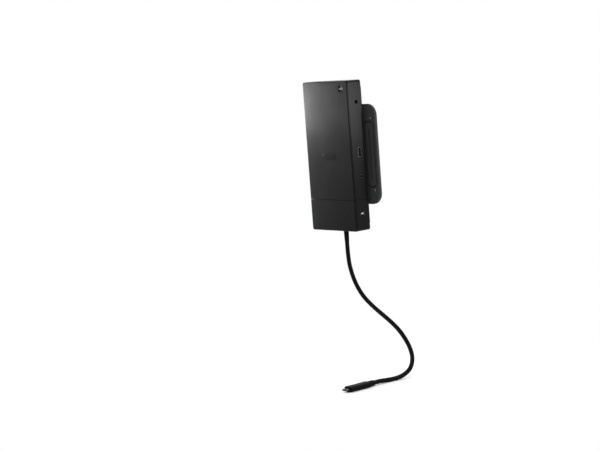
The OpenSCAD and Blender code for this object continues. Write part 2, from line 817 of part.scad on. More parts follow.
module main_case() color("#333436") difference() {
  union() {
    case_blank(main_low_z, top_z, main_cover_posts, main_board_posts);
    seam_wall(main_low_z + wall / 2);
    for (p = dock_screw_places) peg(p[0], p[1], insert_boss_r, body_d - insert_l - insert_floor, floor_depth);
  }
  intake_slots();
  outlet_slots();
  link_window(main_low_z + wall / 2);
  for (p = dock_screw_places) {
    peg(p[0], p[1], insert_r, body_d - insert_l, body_d + cut);
    peg(p[0], p[1], insert_r - insert_lip, body_d - insert_l - cut, body_d);
  }
  for (s = [-1, 1]) {
    slab(s * tab_x, main_low_z, tab_w + 2 * fit, 2 * wall + cut, floor_depth - tab_t - 2 * fit, floor_depth);
    peg(s * tab_x, tab_screw_z, screw_r + screw_gap, floor_depth - cut, body_d + cut);
    peg(s * tab_x, tab_screw_z, screw_head_r + screw_gap, body_d - screw_head_h, body_d + cut);
  }
  mouth_cut([left, left_z(0)], inlet_w, inlet_h, flat_r);
  mouth_cut([left, left_z(1)], network_w, network_h, flat_r);
  for (p = flat_places) mouth_cut(p, flat_w, flat_h, flat_r);
  for (p = oval_places) mouth_cut(p, oval_w, oval_h, oval_h / 2);
  mouth_cut([left, left_z(5)], video_w, video_h, video_r);
  for (p = display_places) mouth_cut(p, display_w, display_h, video_r);
  side_extrude([right, jack_z], -cut, wall + cut) translate([0, jack_h / 2]) circle(jack_mouth_r);
  peg(button_x, button_z, button_r + flange_w + flange_room, case_front - cut,
    flange_front + flange_t + button_travel + flange_room);
}

// Lock slot outline on the right wall, grown by a margin
module lock_outline(grow)
  translate([0, board_face - lock_depth]) soft_rect(lock_h + 2 * grow, lock_w + 2 * grow, lock_r);

module module_case() color("#333436") difference() {
  union() {
    case_blank(low_z, module_top_z, module_cover_posts, module_board_posts);
    difference() {
      seam_wall(module_top_z - wall / 2);
      link_window(module_top_z - wall / 2);
    }
    for (s = [-1, 1])
      translate([s * tab_x - tab_w / 2, front_y + floor_depth - tab_t - fit, module_top_z - wall / 2])
        cube([tab_w, tab_t, wall / 2 + seam + wall + tab_reach]);
  }
  for (s = [-1, 1])
    peg(s * tab_x, tab_screw_z, screw_r + screw_gap, floor_depth - tab_t - cut, floor_depth + cut);
  side_extrude([right, lock_z], -cut, wall + cut) lock_outline(lock_t + fit / 2);
  translate([lead_x, lead_y, low_z - cut]) cylinder(r = boot_r + fit / 2, h = wall + 2 * cut);
}

module blank_badge() color("#1d1e20")
  front_extrude(badge_pocket - badge_t, badge_pocket) soft_rect(badge_w, badge_h, badge_h / 2);

module rubber_feet() color("#1b1b1c") for (p = foot_places) peg(p[0], p[1], foot_r, body_d, body_d + foot_h);

module cover_screws() color("#8a8c90")
  for (p = concat(main_cover_posts, module_cover_posts))
    back_screw(p[0], p[1], body_d - screw_recess, screw_head_r, screw_head_h, screw_r, cover_screw_l);

module module_screws() color("#8a8c90")
  for (s = [-1, 1])
    back_screw(s * tab_x, tab_screw_z, body_d - screw_head_h, screw_head_r, screw_head_h, screw_r,
      wall - screw_head_h + tab_t);

// Power button

module power_button() color("#2a2b2d") difference() {
  union() {
    peg(button_x, button_z, button_r, -button_proud, flange_front);
    peg(button_x, button_z, button_r + flange_w, flange_front, flange_front + flange_t);
    peg(button_x, button_z, stem_r, flange_front + flange_t, stem_end);
  }
  peg(button_x, button_z, dish_r, -button_proud - cut, dish_d - button_proud);
  slab(button_x, button_z, bar_w + 2 * bar_gap, bar_h + 2 * bar_gap, -button_proud, bar_front + bar_d);
}

module button_light_bar() color("#f4f6f8")
  slab(button_x, button_z, bar_w, bar_h, bar_front - bar_proud, bar_front + bar_d);

module switch_plunger() color("#1c1c1d") peg(button_x, button_z, plunger_r, stem_end, plunger_end);

module switch_body() color("#b9bbbe") difference() {
  slab(button_x, button_z, switch_w, switch_w, switch_front, switch_back);
  peg(button_x, button_z, plunger_r + plunger_gap, switch_front - cut,
    plunger_end + button_travel + stop_gap);
}

module button_board() color("#1f5a3c")
  slab(button_x, button_board_z, button_board_w, button_board_l, switch_back, button_board_back);

module button_ribbon() color("#c98a2b") {
  slab(button_x, button_z, ribbon_w, ribbon_t, button_board_back, board_face);
  slab(button_x, button_z - ribbon_foot / 2, ribbon_w, ribbon_foot, board_face - ribbon_t, board_face);
}

// Boards and what stands on them

module mainboard() color("#1f5a3c") difference() {
  slab(0, (board_low_z + board_top_z) / 2, board_w, board_top_z - board_low_z, board_face, board_back);
  for (p = main_cover_posts)
    peg(p[0], p[1], cover_post_r + board_hole_gap, board_face - cut, board_back + cut);
  for (p = main_board_posts) peg(p[0], p[1], screw_r + screw_gap, board_face - cut, board_back + cut);
  for (p = fan_lugs) peg(p[0], p[1], screw_r + screw_gap, board_face - cut, board_back + cut);
  peg(fan_x, fan_z, intake_r, board_face - cut, board_back + cut);
}

module module_board() color("#1f5a3c") difference() {
  slab(0, (module_board_low_z + module_board_top_z) / 2, module_board_w,
    module_board_top_z - module_board_low_z, board_face, board_back);
  for (p = module_board_posts) peg(p[0], p[1], screw_r + screw_gap, board_face - cut, board_back + cut);
}

module board_screws() color("#a9abae") {
  for (p = concat(main_board_posts, module_board_posts))
    front_screw(p[0], p[1], board_face, screw_head_r, screw_head_h, screw_r, board_t + post_h - screw_short);
  for (p = fan_lugs)
    front_screw(p[0], p[1], fan_base, screw_head_r, screw_head_h, screw_r,
      fan_wall + board_t + fan_screw_tail);
}

// Nose of the link, which starts on the module board and ends inside the socket
module link_plug() color("#26272a") {
  slab(link_x, module_board_top_z - link_body_l / 2, link_w + 2 * link_wall, link_body_l,
    link_mid - link_body_h / 2, board_face);
  translate([link_x - link_w / 2, front_y + link_mid - link_h / 2, module_board_top_z - cut])
    cube([link_w, link_h, board_low_z - module_board_top_z + cut + link_reach]);
}

module link_socket() color("#e2ddcf") difference() {
  slab(link_x, board_low_z + link_body_l / 2, link_w + 2 * link_wall, link_body_l,
    link_mid - link_body_h / 2, board_face);
  translate([link_x - link_w / 2 - fit, front_y + link_mid - link_h / 2 - fit, board_low_z - cut])
    cube([link_w + 2 * fit, link_h + 2 * fit, cut + link_reach + fit]);
}

module main_chip() color("#17181a") slab(sink_x, sink_z, chip_w, chip_w, chip_front, board_face);

module board_chips() color("#17181a")
  for (c = [
    [small_chip_x, small_chip_z, small_chip_w], [can_x, can_z, can_chip_w],
    [module_chip_x, module_board_top_z - module_chip_in, module_chip_w]
  ]) slab(c[0], c[1], c[2], c[2], chip_front, board_face);

module shield_can() color("#c7c9cc") difference() {
  slab(can_x, can_z, can_w, can_l, board_face - can_h, board_face);
  slab(can_x, can_z, can_w - 2 * can_t, can_l - 2 * can_t, board_face - can_h + can_t, board_face + cut);
}

module coils() color("#4a4b4d")
  for (x = [0, 1], z = [0, 1])
    slab(coil_x + x * coil_pitch, coil_z + z * coil_pitch, coil_w, coil_w, board_face - coil_h, board_face);

module capacitors() color("#56585c")
  for (x = [0, 1], z = [0 : 2])
    peg(cap_x + x * cap_pitch, board_low_z + cap_in - z * cap_pitch, cap_r, board_face - cap_h, board_face);

module thermal_pad() color("#8fa3b5") slab(sink_x, sink_z, chip_w, chip_w, sink_back, chip_front);

module heatsink() color("#a7aaae") {
  slab(sink_x, sink_z, sink_w, sink_l, sink_back - sink_base_t, sink_back);
  for (i = [0 : fin_count - 1])
    slab(sink_left + fin_t / 2 + i * (sink_w - fin_t) / (fin_count - 1), sink_z, fin_t, sink_l,
      sink_front, sink_back - sink_base_t);
  for (x = [-1, 1], z = [-1, 1])
    peg(sink_x + x * (sink_w / 2 - sink_leg_r), sink_z + z * (sink_l / 2 - sink_leg_r), sink_leg_r,
      sink_back, board_face);
}

// Fan

module fan_frame() color("#232427") difference() {
  union() {
    difference() {
      slab(fan_x, fan_z, fan_w, fan_w, fan_front + fan_wall, board_face);
      slab(fan_x, fan_z + fan_wall, fan_w - 2 * fan_wall, fan_w, fan_front, fan_base);
      peg(fan_x, fan_z, intake_r, fan_base - cut, board_face + cut);
    }
    peg(fan_x, fan_z, hub_disc_r, fan_base, board_face);
    for (turn = [0, 120, 240])
      translate([fan_x, front_y, fan_z]) rotate([0, turn, 0])
        translate([-fan_wall, fan_base, 0]) cube([2 * fan_wall, fan_wall, intake_r + fan_wall / 2]);
    for (p = fan_lugs) {
      peg(p[0], p[1], fan_lug_r, fan_base, board_face);
      edge_x = fan_x + sign(p[0] - fan_x) * fan_w / 2;
      slab((p[0] + edge_x) / 2, p[1], fan_lug_out + fan_wall, 2 * fan_lug_r, fan_base, board_face);
    }
  }
  for (p = fan_lugs) peg(p[0], p[1], screw_r + screw_gap, fan_base - cut, board_face + cut);
}

module fan_cover() color("#c3c5c8") difference() {
  slab(fan_x, fan_z, fan_w, fan_w, fan_front, fan_front + fan_wall);
  peg(fan_x, fan_z, intake_r, fan_front - cut, fan_front + fan_wall + cut);
}

module fan_bearing() color("#b5904a") difference() {
  peg(fan_x, fan_z, sleeve_r, sleeve_front, fan_base);
  peg(fan_x, fan_z, shaft_r + shaft_gap, rotor_front, fan_base + cut);
}

module fan_stator() color("#9c5a2c") difference() {
  peg(fan_x, fan_z, cup_r - cup_wall - rotor_gap, sleeve_front + rotor_gap, fan_base);
  peg(fan_x, fan_z, sleeve_r + stator_gap, rotor_front, fan_base + cut);
}

module fan_rotor() color("#2b2c2f") {
  difference() {
    peg(fan_x, fan_z, cup_r, rotor_front, rotor_back);
    peg(fan_x, fan_z, cup_r - cup_wall, rotor_front + cup_wall, rotor_back + cut);
  }
  peg(fan_x, fan_z, shaft_r, rotor_front + cup_wall / 2, shaft_end);
  for (i = [0 : blade_count - 1])
    translate([fan_x, front_y, fan_z]) rotate([0, i * 360 / blade_count, 0])
      translate([cup_r - cup_wall / 2, rotor_front, -blade_t / 2])
        cube([rotor_r - cup_r, rotor_back - rotor_front, blade_t]);
}

// Sockets

module power_inlet() color("#1c1d1f") difference() {
  side_extrude([left, left_z(0)], mouth_in, mouth_in + inlet_l)
    translate([0, inlet_h / 2]) square([inlet_w, inlet_h], center = true);
  side_extrude([left, left_z(0)], mouth_in - cut, mouth_in + inlet_l - wall)
    translate([0, inlet_h / 2]) circle(inlet_r);
}

module inlet_pin() color("#d6c089")
  side_extrude([left, left_z(0)], mouth_in + inlet_pin_in, mouth_in + inlet_l - wall)
    translate([0, inlet_h / 2]) circle(inlet_pin_r);

module network_socket() color("#b4b7ba") difference() {
  side_extrude([left, left_z(1)], mouth_in, mouth_in + network_l)
    translate([0, network_h / 2]) square([network_w, network_h], center = true);
  side_extrude([left, left_z(1)], mouth_in - cut, mouth_in + network_l - wall) {
    translate([-network_mouth_w / 2, network_floor]) square([network_mouth_w, network_mouth_h]);
    translate([-network_latch_w / 2, network_floor])
      square([network_latch_w, network_mouth_h + network_latch_h]);
  }
}

module network_contacts() color("#d9b45a")
  for (i = [0 : contact_count - 1])
    side_extrude([left, left_z(1)], mouth_in + contact_in, mouth_in + network_l - wall)
      translate([(i - (contact_count - 1) / 2) * contact_pitch - contact_t / 2, network_floor])
        square(contact_t);

module flat_socket_shells() color("#b4b7ba")
  for (p = flat_places) socket_shell(p, flat_w, flat_h, flat_l, flat_r);

module flat_socket_tongues() color("#1c1d1f")
  for (p = flat_places)
    socket_tongue(p, flat_w - 2 * tongue_side, flat_tongue_t, flat_h, flat_l, flat_tongue_up);

module oval_socket_shells() color("#b4b7ba")
  for (p = oval_places) socket_shell(p, oval_w, oval_h, oval_l, oval_h / 2);

module oval_socket_tongues() color("#1c1d1f")
  for (p = oval_places)
    socket_tongue(p, oval_w - oval_h + tongue_side, oval_tongue_t, oval_h, oval_l, 0);

module video_socket_shell() color("#b4b7ba")
  socket_shell([left, left_z(5)], video_w, video_h, video_l, video_r);

module video_socket_tongue() color("#1c1d1f")
  socket_tongue([left, left_z(5)], video_w - 3 * tongue_side, video_tongue_t, video_h, video_l, 0);

module display_socket_shells() color("#b4b7ba")
  for (p = display_places) socket_shell(p, display_w, display_h, display_l, video_r);

module display_socket_tongues() color("#1c1d1f")
  for (p = display_places)
    socket_tongue(p, display_w - 3 * tongue_side, display_tongue_t, display_h, display_l, 0);

module headset_jack() color("#161718") difference() {
  side_extrude([right, jack_z], wall, wall + jack_l)
    translate([0, jack_h / 2]) square([jack_w, jack_h], center = true);
  side_extrude([right, jack_z], wall - cut, wall + jack_l - jack_end)
    translate([0, jack_h / 2]) circle(jack_r);
}

module lock_liner() color("#c9ccd0") difference() {
  union() {
    side_extrude([right, lock_z], mouth_in, wall + lock_t) lock_outline(lock_t);
    side_extrude([right, lock_z], wall, wall + lock_t) lock_outline(lock_t + lock_flange);
  }
  side_extrude([right, lock_z], -cut, wall + lock_t + cut) lock_outline(0);
}

// Captive lead

module lead_boot() color("#161718") translate([lead_x, lead_y, low_z]) {
  translate([0, 0, -boot_l]) cylinder(r1 = boot_end_r, r2 = boot_r, h = boot_l);
  cylinder(r = boot_r, h = wall + boot_flange_t / 2);
  translate([0, 0, wall]) cylinder(r = boot_flange_r, h = boot_flange_t);
}

module lead_tail() color("#161718") translate([lead_x, lead_y, tail_low_z]) {
  cylinder(d = lead_d, h = tail_l);
  for (x = [-1, 1], y = [-1, 1]) translate([x * wire_off, y * wire_off, tail_l - cut])
    cylinder(r = wire_r, h = wire_l + cut);
}

module lead_clamp() color("#2f3033") difference() {
  union() {
    translate([lead_x - clamp_w / 2, lead_y - lead_d / 2 - wall, module_board_low_z])
      cube([clamp_w, board_face - lead_depth + lead_d / 2 + wall, clamp_l]);
    translate([lead_x - clamp_w / 2, lead_y - lead_d / 2, wire_top_z])
      cube([clamp_w, board_face - lead_depth + lead_d / 2, clamp_l / 2]);
    translate([lead_x - clamp_w / 2, front_y + board_face - clamp_base, module_board_low_z])
      cube([clamp_w, clamp_base, wire_top_z - module_board_low_z + clamp_l / 2]);
  }
  translate([lead_x, lead_y, module_board_low_z - cut])
    cylinder(d = lead_d + 2 * clamp_gap, h = clamp_l + 2 * cut);
}

// Unit vector along the lead at point i
function unit(v) = v / norm(v);
function lead_dir(i) = i == 0 ? lead_start_dir : i == lead_last ? lead_end_dir
  : unit(lead_route[i + 1] - lead_route[i - 1]);
// Point k on the ring around route point i
function lead_ring(i, k) =
  let (d = lead_dir(i), u = unit(cross(d, lead_side_ref)), v = cross(d, u), a = k * 360 / lead_sides)
  lead_route[i] + lead_d / 2 * (cos(a) * u + sin(a) * v);

module data_lead() color("#141415") {
  points = [for (i = [0 : lead_last], k = [0 : lead_sides - 1]) lead_ring(i, k)];
  sides = [for (i = [0 : lead_last - 1], k = [0 : lead_sides - 1])
    let (a = i * lead_sides + k, b = i * lead_sides + (k + 1) % lead_sides)
    each [[a, b, b + lead_sides], [a, b + lead_sides, a + lead_sides]]];
  start_cap = [for (k = [1 : lead_sides - 2]) [0, k + 1, k]];
  end_cap = [for (k = [1 : lead_sides - 2]) [0, k, k + 1] + lead_last * lead_sides * [1, 1, 1]];
  polyhedron(points, concat(sides, start_cap, end_cap));
}

// Plug pieces: the plug's own frame runs along minus Y from the end of the lead
module at_plug(d)
  translate(lead_route[lead_last]) rotate([0, 0, -plug_turn]) translate([0, -d, 0])
    rotate([90, 0, 0]) children();

module plug_relief() color("#161718")
  at_plug(0) cylinder(r1 = relief_r - relief_taper, r2 = relief_r, h = relief_l);

module plug_grip() color("#1a1b1c") at_plug(relief_l) hull() {
  linear_extrude(plug_l) soft_rect(plug_w - 2 * plug_edge, plug_h - 2 * plug_edge, plug_round, $fn = 32);
  translate([0, 0, plug_shoulder]) linear_extrude(plug_l - plug_shoulder - plug_edge)
    soft_rect(plug_w, plug_h, plug_round + plug_edge, $fn = 32);
}

module plug_shell() color("#d2d4d7") at_plug(relief_l + plug_l) difference() {
  linear_extrude(tip_l) soft_rect(tip_w, tip_h, tip_h / 2);
  translate([0, 0, tip_floor]) linear_extrude(tip_l)
    soft_rect(tip_w - 2 * tip_t, tip_h - 2 * tip_t, tip_h / 2 - tip_t);
}

module plug_insert() color("#1a1b1c") at_plug(relief_l + plug_l + tip_floor) difference() {
  linear_extrude(tip_l - tip_floor - tip_t)
    soft_rect(tip_w - 2 * tip_t - tip_gap, tip_h - 2 * tip_t - tip_gap, tip_h / 2 - tip_t - tip_gap / 2);
  translate([0, 0, tip_floor]) linear_extrude(tip_l) square([tip_slot_w, tip_slot_h], center = true);
}

// Holder

module mount_plate() color("#2e2f31") difference() {
  union() {
    rotate([90, 0, 0]) linear_extrude(plate_t) soft_rect(plate_w, plate_l, plate_r);
    for (x = [-1, 1]) {
      rotate([90, 0, 0]) linear_extrude(ear_t) intersection() {
        soft_rect(plate_w, plate_l, plate_r);
        translate([x * (ear_x + plate_w / 2) / 2, 0]) square([plate_w / 2 - ear_x, plate_l], center = true);
      }
      translate([x * rib_x, 0, 0]) rotate([90, 0, 0]) linear_extrude(ear_t + rib_h) soft_rect(rib_w, rib_l, rib_r);
    }
  }
  for (p = hole_places)
    translate([p[0], cut, p[1]]) rotate([90, 0, 0]) cylinder(r = hole_r, h = ear_t + 2 * cut);
  for (x = [-1, 1]) translate([x * rib_x, 0, 0]) {
    translate([0, -slot_floor, 0]) rotate([90, 0, 0]) linear_extrude(ear_t + rib_h)
      soft_rect(slot_w, slot_l, slot_w / 2);
    translate([0, ear_front + groove_d, 0]) rotate([90, 0, 0]) linear_extrude(ear_t) difference() {
      soft_rect(rib_w + 2 * groove_w, rib_l + 2 * groove_w, rib_r + groove_w);
      soft_rect(rib_w, rib_l, rib_r);
    }
  }
  for (p = spacer_places)
    translate([p[0], cut, p[1]]) rotate([90, 0, 0])
      cylinder(r = spacer_screw_r + screw_gap, h = plate_t + 2 * cut);
  for (p = dock_screw_places)
    translate([p[0], cut, p[1]]) rotate([90, 0, 0]) cylinder(r = access_r, h = plate_t + 2 * cut);
}

module spacers() color("#9a9ca0") for (p = spacer_places) difference() {
  translate([p[0], plate_front, p[1]]) rotate([90, 0, 0]) cylinder(r = spacer_r, h = spacer_l);
  translate([p[0], 0, p[1]]) rotate([90, 0, 0])
    cylinder(r = spacer_screw_r + screw_gap, h = plate_t + spacer_l + cut);
}

module spacer_screws() color("#8a8c90") for (p = spacer_places)
  front_screw(p[0], p[1], carrier_front - front_y, spacer_head_r, spacer_head_h, spacer_screw_r,
    carrier_t + spacer_l + plate_t - screw_short);

module carrier() color("#232426") difference() {
  translate([0, carrier_back, 0]) rotate([90, 0, 0]) linear_extrude(carrier_t)
    soft_rect(carrier_w, carrier_l, carrier_r);
  slab(fan_x, fan_z, window_w, window_w, body_d, body_d + foot_h + carrier_t + cut);
  for (p = spacer_places)
    translate([p[0], carrier_back + cut, p[1]]) rotate([90, 0, 0])
      cylinder(r = spacer_screw_r + screw_gap, h = carrier_t + 2 * cut);
  for (p = dock_screw_places)
    translate([p[0], carrier_back + cut, p[1]]) rotate([90, 0, 0])
      cylinder(r = dock_screw_r + screw_gap, h = carrier_t + 2 * cut);
}

module threaded_inserts() color("#b5904a") for (p = dock_screw_places) difference() {
  peg(p[0], p[1], insert_r, body_d - insert_l, body_d);
  peg(p[0], p[1], dock_screw_r + screw_gap, body_d - insert_l - cut, body_d + cut);
}

module dock_screws() color("#8a8c90") for (p = dock_screw_places)
  back_screw(p[0], p[1], body_d + foot_h + carrier_t, dock_head_r, dock_head_h, dock_screw_r,
    carrier_t + foot_h + insert_l - screw_short);

top_cover();
main_case();
module_cover();
module_case();
blank_badge();
rubber_feet();
cover_screws();
module_screws();
power_button();
button_light_bar();
switch_plunger();
switch_body();
button_board();
button_ribbon();
mainboard();
module_board();
board_screws();
link_socket();
link_plug();
main_chip();
board_chips();
shield_can();
coils();
capacitors();
thermal_pad();
heatsink();
fan_frame();
fan_cover();
fan_bearing();
fan_stator();
fan_rotor();
power_inlet();
inlet_pin();
network_socket();
network_contacts();
flat_socket_shells();
flat_socket_tongues();
oval_socket_shells();
oval_socket_tongues();
video_socket_shell();
video_socket_tongue();
display_socket_shells();
display_socket_tongues();
headset_jack();
lock_liner();
lead_boot();
lead_tail();
lead_clamp();
data_lead();
plug_relief();
plug_grip();
plug_shell();
plug_insert();
mount_plate();
spacers();
spacer_screws();
carrier();
threaded_inserts();
dock_screws();
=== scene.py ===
import json
import math
import bpy
import numpy as np
from mathutils import Matrix, Vector

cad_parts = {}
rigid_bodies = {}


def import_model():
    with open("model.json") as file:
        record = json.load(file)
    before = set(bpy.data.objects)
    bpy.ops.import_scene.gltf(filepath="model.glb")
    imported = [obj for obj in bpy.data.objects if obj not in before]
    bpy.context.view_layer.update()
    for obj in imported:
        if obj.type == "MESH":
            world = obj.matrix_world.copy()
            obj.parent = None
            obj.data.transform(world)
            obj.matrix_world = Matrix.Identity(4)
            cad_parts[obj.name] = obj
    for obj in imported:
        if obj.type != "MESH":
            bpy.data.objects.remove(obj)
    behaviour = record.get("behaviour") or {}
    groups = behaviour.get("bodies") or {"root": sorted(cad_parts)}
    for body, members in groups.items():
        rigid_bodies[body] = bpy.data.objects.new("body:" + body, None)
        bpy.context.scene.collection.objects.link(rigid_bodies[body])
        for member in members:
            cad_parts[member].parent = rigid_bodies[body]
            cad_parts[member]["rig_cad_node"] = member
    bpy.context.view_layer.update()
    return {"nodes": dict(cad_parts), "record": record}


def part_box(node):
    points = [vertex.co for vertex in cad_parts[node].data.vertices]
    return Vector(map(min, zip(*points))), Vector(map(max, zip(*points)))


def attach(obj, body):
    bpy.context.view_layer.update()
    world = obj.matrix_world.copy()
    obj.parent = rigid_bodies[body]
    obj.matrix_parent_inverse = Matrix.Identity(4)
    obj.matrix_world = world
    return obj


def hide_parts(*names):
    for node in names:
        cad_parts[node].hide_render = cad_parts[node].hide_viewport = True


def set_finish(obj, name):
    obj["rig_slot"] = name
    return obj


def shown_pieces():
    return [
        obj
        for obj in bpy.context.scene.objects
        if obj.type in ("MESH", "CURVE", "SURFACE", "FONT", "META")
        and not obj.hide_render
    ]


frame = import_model()
nodes = frame["nodes"]
mm = 0.001
print("frame loaded:", len(nodes), "nodes")


def addObject(name, data):
    made = bpy.data.objects.new(name, data)
    bpy.context.scene.collection.objects.link(made)
    return made


# camera: place and aim in metres, a small roll, lens and sensor width in millimetres
view = {"place": (1.6491, -1.5475, 0.1610), "aim": (0.0206, -0.1192, -0.0845), "rollDeg": 4.25, "lens": 96.7,
        "sensor": 36, "clip": (0.05, 50)}


def makeCamera(spec):
    data = bpy.data.cameras.new("viewCamera")
    data.lens = spec["lens"]
    data.sensor_width = spec["sensor"]
    data.clip_start, data.clip_end = spec["clip"]
    camera = addObject("viewCamera", data)
    place = Vector(spec["place"])
    turn = (Vector(spec["aim"]) - place).to_track_quat("-Z", "Y")
    roll = Matrix.Rotation(-math.radians(spec["rollDeg"]), 4, "Z")
    camera.matrix_world = Matrix.Translation(place) @ turn.to_matrix().to_4x4() @ roll
    bpy.context.scene.camera = camera


makeCamera(view)
print("camera placed")


# mesh helpers: every new piece is a grid of points, rows by columns

def gridFaces(rows, cols):
    # quads between neighbouring rows, with each row closed into a ring
    r, c = np.meshgrid(np.arange(rows - 1), np.arange(cols), indexing="ij")
    after = (c + 1) % cols
    quads = np.stack([r * cols + c, r * cols + after, (r + 1) * cols + after, (r + 1) * cols + c], -1)
    return quads.reshape(-1, 4)


def capFaces(start, cols, pole):
    # triangles from one ring to its pole
    c = np.arange(cols)
    return np.stack([start + c, start + (c + 1) % cols, np.full(cols, pole)], -1)


def facingOut(points, tris, faces):
    # a closed shell whose signed volume is negative is inside out, so its faces are turned over
    a, b, c = points[tris[:, 0]], points[tris[:, 1]], points[tris[:, 2]]
    inward = np.einsum("ij,ij->i", a, np.cross(b, c)).sum() < 0
    return [f[::-1] for f in faces] if inward else faces


def closedRings(rings):
    # a solid from stacked rings: quads between the rings and a fan to the middle of the first and the last
    rows, cols = rings.shape[:2]
    points = np.concatenate([rings.reshape(-1, 3), rings[:1].mean(1), rings[-1:].mean(1)])
    quads = gridFaces(rows, cols)
    first = capFaces(0, cols, rows * cols)[:, ::-1]
    last = capFaces((rows - 1) * cols, cols, rows * cols + 1)
    tris = np.concatenate([quads[:, [0, 1, 2]], quads[:, [0, 2, 3]], first, last])
    faces = quads.tolist() + first.tolist() + last.tolist()
    return points, facingOut(points, tris, faces)


def loopedRings(rings):
    # a ring-shaped solid: quads between the rings, and from the last ring back to the first
    rows, cols = rings.shape[:2]
    points = rings.reshape(-1, 3)
    quads = gridFaces(rows + 1, cols) % (rows * cols)
    tris = np.concatenate([quads[:, [0, 1, 2]], quads[:, [0, 2, 3]]])
    return points, facingOut(points, tris, quads.tolist())


def addPiece(name, points, faces, body, slot, replaced=(), sharpDeg=35):
    mesh = bpy.data.meshes.new(name)
    mesh.from_pydata(points.tolist(), [], faces)
    mesh.polygons.foreach_set("use_smooth", np.ones(len(mesh.polygons), bool))
    mesh.set_sharp_from_angle(angle=math.radians(sharpDeg))
    piece = addObject(name, mesh)
    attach(piece, body)
    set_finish(piece, slot)
    if replaced:
        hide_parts(*replaced)
    return piece


def ringAngles(count):
    return np.arange(count) * 2 * np.pi / count


def ovalRing(halfW, halfH, power, count):
    # superellipse outline: cosine and sine raised to 2 / power, signs kept
    t = ringAngles(count)
    x = halfW * np.sign(np.cos(t)) * np.abs(np.cos(t)) ** (2 / power)
    y = halfH * np.sign(np.sin(t)) * np.abs(np.sin(t)) ** (2 / power)
    return np.stack([x, y], -1)


def pillRing(halfW, halfH, count):
    # stadium outline: a half circle at each end of a straight run
    t = ringAngles(count)
    return np.stack([np.sign(np.cos(t)) * (halfW - halfH) + halfH * np.cos(t), halfH * np.sin(t)], -1)


def arc(centre, radius, startDeg, endDeg, steps=8):
    # part of a circle in the plane of a profile
    a = np.radians(np.linspace(startDeg, endDeg, steps))
    return np.stack([centre[0] + radius * np.cos(a), centre[1] + radius * np.sin(a)], -1)


def turned(profile, centre, axis, side, count):
    # surface of revolution: each (radius, height) of the profile swept round the axis
    axis, side = np.array(axis, float), np.array(side, float)
    other = np.cross(axis, side)
    t = ringAngles(count)
    spokes = np.cos(t)[:, None] * side + np.sin(t)[:, None] * other
    profile = np.array(profile, float)
    return np.array(centre) + profile[:, 0, None, None] * spokes + profile[:, 1, None, None] * axis


def facingFront(outline, middle, depth):
    # outlines (rows of width, height) about a middle, each row at its own depth along Y
    y = np.broadcast_to(depth[:, None], outline.shape[:2])
    return np.stack([middle.x + outline[..., 0], y, middle.z + outline[..., 1]], -1)


def boxMiddle(node):
    low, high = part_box(node)
    return (low + high) / 2


# captive data lead: one smooth tube through the route's points, from the strain relief to the plug
lead = {
    "diameter": 6 * mm, "length": 0.294, "sides": 28, "perSpan": 9, "endTurnDeg": 2, "sharpDeg": 60,
    "points": [   # millimetres from where the lead leaves the lower end of the dock
        [0, 0, -16], [0, 0, -25.5], [0.5, 0, -37.5], [2, 0, -49.5], [5.5, 0, -61.5], [11, 0, -73.5],
        [18, 0, -84], [27.5, 0, -94], [39, 0, -102.5], [52, 0, -110.5], [65.5, 0, -118], [79, 0, -126],
        [91.5, 0, -135], [103, -1, -145.5], [112.5, -3, -156], [120, -7, -165.5], [125.5, -13, -173.5],
        [128.5, -21, -180.5], [129, -31, -185.5], [128.5, -43, -188], [127, -55, -188.5], [125.5, -66, -188],
        [124.5, -76, -187.5], [124, -86, -187.5],
    ],
}
bootMiddle = boxMiddle("lead_boot")
leadExit = np.array([bootMiddle.x, bootMiddle.y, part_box("module_case")[0].z])
leadRoute = leadExit + mm * np.array(lead["points"], float)
leadDown = np.array([0, 0, -1.0])
plugTurn = math.radians(lead["endTurnDeg"])
plugAxis = np.array([-math.sin(plugTurn), -math.cos(plugTurn), 0])
plugSide = np.array([math.cos(plugTurn), -math.sin(plugTurn), 0])
plugUp = np.array([0, 0, 1.0])


def smoothRoute(points, startDir, endDir, perSpan):
    # cubic Hermite through the points: the slope at each is the mean of its two chords, by their lengths
    chord = np.diff(points, axis=0)
    size = np.linalg.norm(chord, axis=1)[:, None]
    slope = chord / size
    inner = (slope[:-1] * size[1:] + slope[1:] * size[:-1]) / (size[:-1] + size[1:])
    tangent = np.concatenate([[startDir], inner, [endDir]])
    u = np.arange(perSpan)[None, :, None] / perSpan
    p, q = points[:-1, None], points[1:, None]
    m, n = (tangent[:-1] * size)[:, None], (tangent[1:] * size)[:, None]
    curve = (2 * u**3 - 3 * u**2 + 1) * p + (u**3 - 2 * u**2 + u) * m
    curve = curve + (3 * u**2 - 2 * u**3) * q + (u**3 - u**2) * n
    return np.concatenate([curve.reshape(-1, 3), points[-1:]])


def tubeRings(path, startDir, endDir, radius, count):
    # circle of the given radius in the plane across the path at every point
    along = np.gradient(path, axis=0)
    along[0], along[-1] = startDir, endDir
    along /= np.linalg.norm(along, axis=1)[:, None]
    side = np.cross(along, [0.6, 0.5, 0.6])   # a direction that no stretch of the lead runs along
    side /= np.linalg.norm(side, axis=1)[:, None]
    other = np.cross(along, side)
    t = ringAngles(count)
    return path[:, None] + radius * (np.cos(t)[:, None] * side[:, None] + np.sin(t)[:, None] * other[:, None])


leadPath = smoothRoute(leadRoute, leadDown, plugAxis, lead["perSpan"])
leadRings = tubeRings(leadPath, leadDown, plugAxis, lead["diameter"] / 2, lead["sides"])
dataLead = addPiece("dataLead", *closedRings(leadRings), "dock", "lead_jacket", ["data_lead"],
                    lead["sharpDeg"])
print("lead runs", round(float(np.linalg.norm(np.diff(leadPath, axis=0), axis=1).sum()), 4), "m")


